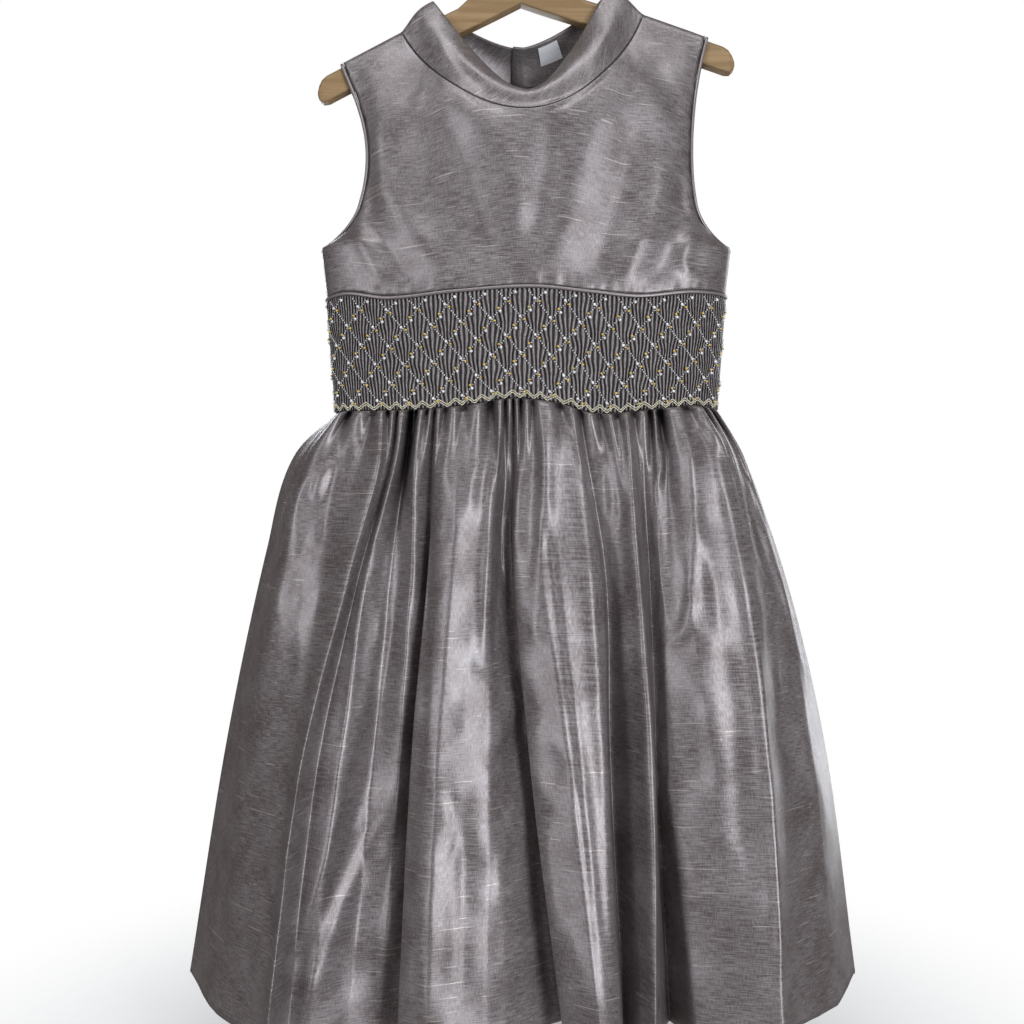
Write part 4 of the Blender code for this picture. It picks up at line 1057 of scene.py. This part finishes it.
def band_point(share, drop, lift):
    """Points of the smocked band: share from the left seam to the right, drop from 0 at the
    piping to 1 at the wave stitching, and how high they stand over the plain band."""
    level = mix(WAIST_TOP_Z - PIPING_RADIUS - SEAM_GAP, WAIST_Z, drop)
    x = side_x(level) * (0.42 * np.sin(np.pi * (share - 0.5)) + 0.58 * (2 * share - 1))
    rise = mix(read_table(TOP_SEAM, "x", "rise", x), read_table(BOTTOM_SEAM, "x", "rise", x), drop)
    out = np.maximum(SEAM_GAP / 2, body_reach(x, level, "front") + lift)
    return hung(x, -out, level + rise)


def band_lengths():
    """Distance along the plain band from its middle, for shares across."""
    shares = np.linspace(0, 1, 400)
    lengths = lengths_along(band_point(shares, 0.5, 0.0))
    return shares, lengths - lengths[-1] / 2


class DRESS_OT_smocking(bpy.types.Operator):
    """Makes the pleated cloth of the smocked band"""

    bl_idname = "dress.smocking"
    bl_label = "Smocking"

    def execute(self, context):
        sizes = context.scene.dress_sizes
        columns = sizes.pleats * PLEAT_COLUMNS + 1
        share = np.linspace(0, 1, columns)[None, :]
        drop = np.linspace(1, 0, BAND_ROWS + 1)[:, None]
        shares, lengths = band_lengths()
        across = np.interp(share, shares, lengths)
        phase = across / sizes.lattice
        level = (drop - FIRST_CROSSING) / CROSSING_STEP
        pull = PLEAT_PULL * np.sin(pi * level) * np.sin(2 * pi * (phase - LATTICE_PHASE / sizes.lattice))
        spots = np.stack(np.broadcast_arrays(across * 95, drop * 9), axis=-1)
        wander = pull + PLEAT_WANDER * soft_noise(spots, 21)
        inset = np.minimum(1.0, np.minimum(share, 1 - share) * 60)
        heights = soft_noise(np.stack(np.broadcast_arrays(across * 240, drop * 7), axis=-1), 23)
        wave = np.abs(np.sin(pi * sizes.pleats * share)) ** PLEAT_ROUNDNESS
        lift = sizes.pleat_rise * (wave * (0.9 + 0.35 * heights) - 0.3)
        span = lengths[-1] - lengths[0]
        points = band_point(share + inset * wander * np.sin(pi * drop) ** 0.4 / span, drop, lift * inset)
        cloth_map = laid_out(points)
        obj = cloth_piece("smocked_cloth", points, cloth_map, MATERIALS["smocked_dupion"], sizes.cloth / 2)
        # The pleats' height, kept for the smocking's painted shade and highlight.
        stored(obj.data, "pleat", np.broadcast_to(wave, points.shape[:2]))
        fit(obj, "smocked_dupion", "smocked_band")
        return {"FINISHED"}


# The lattice on the smocking: where its first and following crossings lie down the band, and
# how far the first crossing is from the middle of the band
FIRST_CROSSING = 0.11
CROSSING_STEP = 0.165
LATTICE_PHASE = -0.0605
STITCH_RADIUS = 0.00050
STITCH_PITCH = 1.45
PLEAT_TOP = 1.12


def frames_on_band(across, drop, lift):
    """Places on the band at distances from its middle, with the outward and downward directions."""
    shares, lengths = band_lengths()
    share = np.interp(across, lengths, shares)
    here = band_point(share, drop, lift)
    down = band_point(share, drop + 0.01, lift) - here
    outward = np.cross(down, band_point(share + 0.002, drop, lift) - here)
    down /= np.linalg.norm(down, axis=-1, keepdims=True)
    outward /= np.linalg.norm(outward, axis=-1, keepdims=True)
    return here, outward, down


def add_stitch(bm, start, end, outward, radius):
    """One raised stitch of thread from place to place."""
    start, end = Vector(start), Vector(end)
    along = (end - start).normalized()
    side = along.cross(outward).normalized()
    turn = Matrix((along, side, outward)).transposed().to_4x4()
    size = Matrix.Diagonal(((end - start).length / 2, radius, radius * 0.8, 1))
    place = Matrix.Translation((start + end) / 2) @ turn @ size
    bmesh.ops.create_icosphere(bm, subdivisions=1, radius=1.0, matrix=place)


def add_bead(bm, place, outward, radius, squash):
    turn = outward.to_track_quat("Z", "Y").to_matrix().to_4x4()
    size = Matrix.Diagonal((radius, radius * squash, radius * 0.85, 1))
    at = Matrix.Translation(place) @ turn @ size
    bmesh.ops.create_uvsphere(bm, u_segments=8, v_segments=6, radius=1.0, matrix=at)


def joined_piece(name, bm, material, slot):
    mesh = bpy.data.meshes.new(name)
    bm.to_mesh(mesh)
    bm.free()
    mesh.shade_smooth()
    obj = link(name, mesh, material)
    fit(obj, slot)
    return obj


class DRESS_OT_stitches(bpy.types.Operator):
    """Makes the lattice of cable stitch on the smocking, with its beads"""

    bl_idname = "dress.stitches"
    bl_label = "Cable stitch and beads"

    def execute(self, context):
        sizes = context.scene.dress_sizes
        _, lengths = band_lengths()
        half = lengths[-1] - 0.004
        threads, silver, gold = bmesh.new(), bmesh.new(), bmesh.new()
        lines = int(half / sizes.lattice) + 5
        lift = sizes.pleat_rise * PLEAT_TOP
        run = np.hypot(sizes.lattice / 2 / CROSSING_STEP, BAND_HEIGHT)
        count = int(run / (sizes.stitch * STITCH_PITCH))
        for slant, share_of_length in ((1, 1.0), (-1, 0.85)):
            for line in range(-lines, lines):
                k = np.arange(count)
                drop = 0.02 + 0.955 * (k + 0.5) / count
                bend = np.array([0.0011 * noise.noise(Vector((line * 3.1, d * 4, slant))) for d in drop])
                rows = (drop - FIRST_CROSSING) / CROSSING_STEP
                across = LATTICE_PHASE + (line + slant * rows / 2) * sizes.lattice + bend
                kept = np.abs(across) < half
                if not kept.any():
                    continue
                places, outwards, downs = frames_on_band(across[kept], drop[kept], lift)
                for place, outward, down, turn in zip(places, outwards, downs, (-1) ** k[kept]):
                    beside = np.cross(down, outward) * slant
                    along = beside * 0.62 + down * (0.78 + 0.30 * turn)
                    along *= sizes.stitch / 2 * share_of_length / np.linalg.norm(along)
                    add_stitch(threads, place - along, place + along, Vector(outward), STITCH_RADIUS)
        spots = []
        for line in range(-2 * lines, 2 * lines):
            for row in range(7):
                drop = FIRST_CROSSING + row * CROSSING_STEP
                at = LATTICE_PHASE + (line - row / 2) * sizes.lattice
                between = at + sizes.lattice / 4
                halfway = drop - CROSSING_STEP / 2
                spots += [
                    (silver, at - 0.0014, drop - 0.014, 1.0),
                    (gold, at + 0.0020, drop + 0.014, 0.78),
                    (gold, between - 0.0004, halfway - 0.015, 0.78),
                    (silver, between + 0.0010, halfway + 0.014, 1.0),
                ]
        for beads, at, drop, squash in spots:
            if abs(at) > half or not 0.02 < drop < 0.95:
                continue
            at += noise.noise(Vector((at * 900, drop * 70, 3))) * 0.0005
            place, outward, _ = frames_on_band(at, drop, lift + sizes.bead * 0.6)
            add_bead(beads, Vector(place), Vector(outward), sizes.bead, squash)
        joined_piece("cable_stitches", threads, MATERIALS["cable_thread"], "smocked_dupion")
        joined_piece("silver_beads", silver, MATERIALS["silver_beads"], "smocked_dupion")
        joined_piece("gold_beads", gold, MATERIALS["gold_beads"], "smocked_dupion")
        return {"FINISHED"}


WAVE_RISE = 0.0024
WAVE_THREAD = 0.00055


class DRESS_OT_wave_stitching(bpy.types.Operator):
    """Makes the double zigzag of thread along the bottom of the smocking"""

    bl_idname = "dress.wave_stitching"
    bl_label = "Wave stitching"

    def execute(self, context):
        sizes = context.scene.dress_sizes
        _, lengths = band_lengths()
        threads = bmesh.new()
        steps_per_wave = 10
        count = int((lengths[-1] - lengths[0] - 0.004) / sizes.wave * steps_per_wave)
        for offset in (-0.0012, 0.0006):
            k = np.arange(count + 1)
            across = lengths[0] + 0.002 + k * sizes.wave / steps_per_wave
            uneven = np.array([0.3 * noise.noise(Vector((i * 0.045, 0.5, 9))) for i in k])
            share = (k / steps_per_wave + uneven) % 1.0
            drop = 0.972 + (offset - WAVE_RISE * (4 * np.abs(share - 0.5) - 1)) / BAND_HEIGHT
            places, outwards, _ = frames_on_band(across, drop, sizes.pleat_rise * PLEAT_TOP)
            for start, end, outward in zip(places, places[1:], outwards):
                add_stitch(threads, start, end + (end - start) * 0.25, Vector(outward), WAVE_THREAD)
        joined_piece("wave_stitches", threads, MATERIALS["wave_thread"], "smocked_dupion")
        return {"FINISHED"}


SKIRT_ROWS = 104
SAMPLES_PER_FOLD = 16
BACK_ROWS = 80
BACK_SAMPLES = 12
FLAT_FACES = 0.5
# Gathers: across in shares of a fold, down in shares of the skirt's length, the puff in metres
PINCHES_PER_FOLD = 1.05
PINCH_JITTER = 0.45
PINCH_DRIFT = 1.6
PINCH_WIDTH = 0.21
PINCH_WIDTH_SPREAD = 0.10
PINCH_WIDENING = 1.1
PINCH_START = 0.008
PINCH_REACH = 0.050
PINCH_REACH_SPREAD = 0.16
PINCH_STRENGTH = 1.1
PUFF = 0.011
PUFF_RISE = 0.010
PUFF_REACH = 0.055


def fold_lines_at(folds, down, side):
    """Where the fold lines stand at a share of the way down: across and out, one row each."""
    at_waist = [(fold.waist, float(body_reach(fold.waist, WAIST_Z, side))) for fold in folds]
    stations = [
        at_waist,
        [(fold.upper, fold.upper_out) for fold in folds],
        [(fold.hip, fold.hip_out) for fold in folds],
        [(fold.knee, fold.knee_out) for fold in folds],
        [(fold.hem, fold.hem_out) for fold in folds],
    ]
    values = np.array(stations).reshape(len(FOLD_STATIONS), -1)
    return smooth_through(FOLD_STATIONS, values, down).reshape(-1, 2)


def gather_draw(index, down, side):
    """How strongly the pinches of the gathers draw the cloth in between its puffs."""
    seed = 31 if side == "front" else 37
    count = int(index[-1] * PINCHES_PER_FOLD)
    drawn = np.zeros(len(index))
    for k in range(count):
        uneven = noise.noise(Vector((k * 1.7, seed, 0)))
        other = noise.noise(Vector((k * 2.3, seed, 5)))
        middle = (k + 0.5 + PINCH_JITTER * other) / PINCHES_PER_FOLD + PINCH_DRIFT * uneven * down
        width = PINCH_WIDTH + PINCH_WIDTH_SPREAD * other + PINCH_WIDENING * down
        reach = PINCH_REACH + PINCH_REACH_SPREAD * abs(other)
        strength = PINCH_STRENGTH * (1 + uneven) * np.exp(-down / reach)
        drawn += strength * np.exp(-(((index - middle) / width) ** 2))
    return drawn


def skirt_section(folds, down, side, samples, depth):
    lines = fold_lines_at(folds, down, side)
    keys = lengths_along(lines)
    index = np.arange((len(lines) - 1) * samples + 1) / samples
    own = np.minimum(index.astype(int), len(lines) - 2)
    places = mix(keys[own], keys[own + 1], index - own)
    curve = smooth_through(keys, lines, places)
    flat_faces = np.stack([np.interp(places, keys, column) for column in lines.T], axis=1)
    curve = mix(curve, flat_faces, FLAT_FACES * min(1.0, down * 5))
    ends = np.clip(np.minimum(index, index[-1] - index), 0, 1)
    puff = PUFF * (1 - np.exp(-down / PUFF_RISE)) * np.exp(-down / PUFF_REACH)
    drawn = depth * min(1.0, down / PINCH_START) * gather_draw(index, down, side)
    curve[:, 1] -= (drawn - puff) * ends
    curve[:, 1] = np.maximum(curve[:, 1], SEAM_GAP / 2)
    return curve


def skirt_points(folds, side, rows, samples, depth):
    """Rows of points down one panel of the skirt. Each line down keeps its length, evened out
    between neighbours so that the hem hangs level."""
    downs = np.linspace(0, 1, rows + 1) ** 1.25
    sections = [skirt_section(folds, down, side, samples, depth) for down in downs]
    rise = read_table(BOTTOM_SEAM, "x", "rise", sections[0][:, 0]) if side == "front" else 0.0
    levels = [WAIST_Z - SEAM_GAP + rise + np.zeros(len(sections[0]))]
    for k in range(1, len(downs)):
        run = (downs[k] - downs[k - 1]) * SKIRT_LENGTH
        leaning = np.minimum(np.linalg.norm(sections[k] - sections[k - 1], axis=1), 0.94 * run)
        levels.append(levels[-1] - np.sqrt(run**2 - leaning**2))
    sections, levels = np.array(sections), np.array(levels)
    near = np.ones(2 * samples + 1) / (2 * samples + 1)
    evened = [np.convolve(np.pad(level, samples, mode="edge"), near, "valid") for level in levels]
    levels = mix(levels, np.array(evened), np.minimum(1.0, downs * 5)[:, None])
    sign = -1 if side == "front" else 1
    return hung(sections[..., 0], sign * sections[..., 1], levels)[::-1], downs[::-1]


class DRESS_OT_skirt(bpy.types.Operator):
    """Makes the gathered front and back of the skirt"""

    bl_idname = "dress.skirt"
    bl_label = "Skirt"

    def execute(self, context):
        sizes = context.scene.dress_sizes
        for side, folds, rows, samples in (
            ("front", FRONT_FOLDS, SKIRT_ROWS, SAMPLES_PER_FOLD),
            ("back", BACK_FOLDS, BACK_ROWS, BACK_SAMPLES),
        ):
            points, downs = skirt_points(folds, side, rows, samples, sizes.gather_depth)
            sign = -1 if side == "front" else 1
            hem = lengths_along(points[0])
            across = (hem - hem[-1] / 2)[None, :] * np.ones((len(points), 1))
            grain = mix(-downs[:, None] * SKIRT_LENGTH, points[..., 2] - WAIST_Z, 0.65)
            cloth_map = np.stack([across, grain], axis=-1)
            lift = wrinkled(cloth_map, sizes.crumple, SKIRT_WRINKLES, 41 if side == "front" else 47)
            lift *= smoothstep(0.0, 0.12, downs)[:, None]
            placed = points if side == "front" else points * (1, -1, 1)
            lift = lift + crease_rise(placed, SKIRT_CREASES)
            columns = np.arange(points.shape[1])
            inset = smoothstep(0, samples * 0.8, np.minimum(columns, columns[::-1]))[None, :]
            points = points.copy()
            points[..., 1] += sign * lift * inset
            name = f"skirt_{side}"
            obj = cloth_piece(f"{name}_cloth", points, cloth_map, MATERIALS["dupion"], sizes.cloth)
            # How hard the gathers pull, kept for the painted shade in the pinches.
            stored(obj.data, "pinch", [gather_draw(columns / samples, down, side) for down in downs])
            fit(obj, "dupion", name)
        return {"FINISHED"}


class DRESS_OT_label(bpy.types.Operator):
    """Gives the small bare label inside the back of the collar its woven tape"""

    bl_idname = "dress.label"
    bl_label = "Label"

    def execute(self, context):
        finish_node("label", "label_tape")
        return {"FINISHED"}


BUTTONS = 5


class DRESS_OT_buttons(bpy.types.Operator):
    """Covers the buttons down the back"""

    bl_idname = "dress.buttons"
    bl_label = "Buttons"

    def execute(self, context):
        for number in range(1, BUTTONS + 1):
            # The covered buttons share the piping's painted highlight.
            finish_node(f"button_{number}", "piping")
        return {"FINISHED"}


FLOOR_Z = -0.95
FLOOR_RADIUS = 0.6
FLOOR_FADE_START = 0.25
ROOM_COLOUR = (0.50, 0.445, 0.425, 1)
ROOM_STRENGTH = 0.33
LIGHTS_AIM_Z = -0.55
Light = namedtuple("Light", "name place width height power colour")
LIGHTS = (
    Light("window", (0.80, -1.40, -0.55), 0.45, 1.40, 18, (0.88, 0.94, 1.0)),
    Light("fill", (-1.10, -1.20, -0.35), 0.38, 1.60, 8.5, (0.88, 0.94, 1.0)),
    Light("top", (0.0, -0.75, 0.95), 1.20, 0.50, 9, (0.92, 0.96, 1.0)),
    Light("back_window", (-0.60, 1.50, -0.30), 0.70, 1.80, 20, (0.88, 0.94, 1.0)),
    Light("back_fill", (1.20, 1.00, -0.30), 0.50, 1.60, 10, (0.90, 0.95, 1.0)),
)


class DRESS_OT_stage(bpy.types.Operator):
    """Makes the pale floor, the soft lights and the camera at the picture's angle"""

    bl_idname = "dress.stage"
    bl_label = "Stage"

    def execute(self, context):
        scene = context.scene
        camera = bpy.data.cameras.new("camera")
        camera.sensor_width = 36
        half_view = PHOTO_MIDDLE / PIXELS_PER_METRE
        camera.lens = camera.sensor_width / 2 * CAMERA_DISTANCE / half_view
        shot = bpy.data.objects.new("camera", camera)
        shot.location = (0, -CAMERA_DISTANCE, CAMERA_Z)
        shot.rotation_euler = (pi / 2, 0, 0)
        scene.collection.objects.link(shot)
        scene.camera = shot

        bm = bmesh.new()
        bmesh.ops.create_circle(bm, cap_ends=True, segments=64, radius=FLOOR_RADIUS)
        bmesh.ops.translate(bm, verts=bm.verts, vec=(0, 0, FLOOR_Z))
        mesh = bpy.data.meshes.new("floor")
        bm.to_mesh(mesh)
        bm.free()
        paper = Finish("floor_paper")
        level = paper.place("object", (1, 1, 0))
        out = paper.node("ShaderNodeVectorMath", {"operation": "LENGTH"}, {0: level}, output=1)
        grain = paper.noise(paper.place("object", (60, 60, 60)))
        paper.set(Base_Color=paper.colour((0.90, 0.90, 0.90, 1), (0.93, 0.93, 0.93, 1), grain))
        fading = paper.step(out, FLOOR_FADE_START * FLOOR_RADIUS, FLOOR_RADIUS, 1.0, 0.0)
        paper.set(Roughness=0.9, Alpha=fading)
        floor = link("floor", mesh, paper.material)
        floor.visible_glossy = False

        world = bpy.data.worlds.new("studio")
        world.use_nodes = True
        nodes, links = world.node_tree.nodes, world.node_tree.links
        room = nodes["Background"]
        room.inputs[0].default_value = ROOM_COLOUR
        room.inputs[1].default_value = ROOM_STRENGTH
        paper_white = nodes.new("ShaderNodeBackground")
        paper_white.inputs[0].default_value = (1, 1, 1, 1)
        seen = nodes.new("ShaderNodeLightPath")
        either = nodes.new("ShaderNodeMixShader")
        links.new(seen.outputs["Is Camera Ray"], either.inputs[0])
        links.new(room.outputs[0], either.inputs[1])
        links.new(paper_white.outputs[0], either.inputs[2])
        links.new(either.outputs[0], nodes["World Output"].inputs[0])
        scene.world = world
        scene.view_settings.view_transform = "Standard"

        for row in LIGHTS:
            light = bpy.data.lights.new(row.name, "AREA")
            light.shape = "RECTANGLE"
            light.size, light.size_y = row.width, row.height
            light.energy = row.power
            light.color = row.colour
            lamp = bpy.data.objects.new(row.name, light)
            lamp.location = row.place
            towards = Vector((0, 0, LIGHTS_AIM_Z)) - Vector(row.place)
            lamp.rotation_euler = towards.to_track_quat("-Z", "Y").to_euler()
            scene.collection.objects.link(lamp)
        return {"FINISHED"}


class DRESS_PT_panel(bpy.types.Panel):
    """Lists the dress's sizes, colours and pieces"""

    bl_label = "Dress"
    bl_idname = "DRESS_PT_panel"
    bl_space_type = "VIEW_3D"
    bl_region_type = "UI"
    bl_category = "Dress"

    def draw(self, context):
        layout = self.layout
        for group in (context.scene.dress_sizes, context.scene.dress_colours):
            box = layout.box()
            for name in group.__annotations__:
                box.prop(group, name)
        for piece in PIECES:
            layout.operator(piece.bl_idname)


PIECES = (
    DRESS_OT_finishes,
    DRESS_OT_bodice,
    DRESS_OT_pipings,
    DRESS_OT_collar,
    DRESS_OT_smocking,
    DRESS_OT_stitches,
    DRESS_OT_wave_stitching,
    DRESS_OT_skirt,
    DRESS_OT_label,
    DRESS_OT_buttons,
    DRESS_OT_stage,
)
CLASSES = (DressSizes, DressColours, *PIECES, DRESS_PT_panel)


def register():
    for cls in CLASSES:
        bpy.utils.register_class(cls)
    bpy.types.Scene.dress_sizes = bpy.props.PointerProperty(type=DressSizes)
    bpy.types.Scene.dress_colours = bpy.props.PointerProperty(type=DressColours)


def unregister():
    del bpy.types.Scene.dress_sizes
    del bpy.types.Scene.dress_colours
    for cls in reversed(CLASSES):
        bpy.utils.unregister_class(cls)


def main():
    register()
    bpy.ops.dress.finishes()
    bpy.ops.dress.bodice()
    bpy.ops.dress.pipings()
    bpy.ops.dress.collar()
    bpy.ops.dress.smocking()
    bpy.ops.dress.stitches()
    bpy.ops.dress.wave_stitching()
    bpy.ops.dress.skirt()
    bpy.ops.dress.label()
    bpy.ops.dress.buttons()
    bpy.ops.dress.stage()


if __name__ == "__main__":
    main()
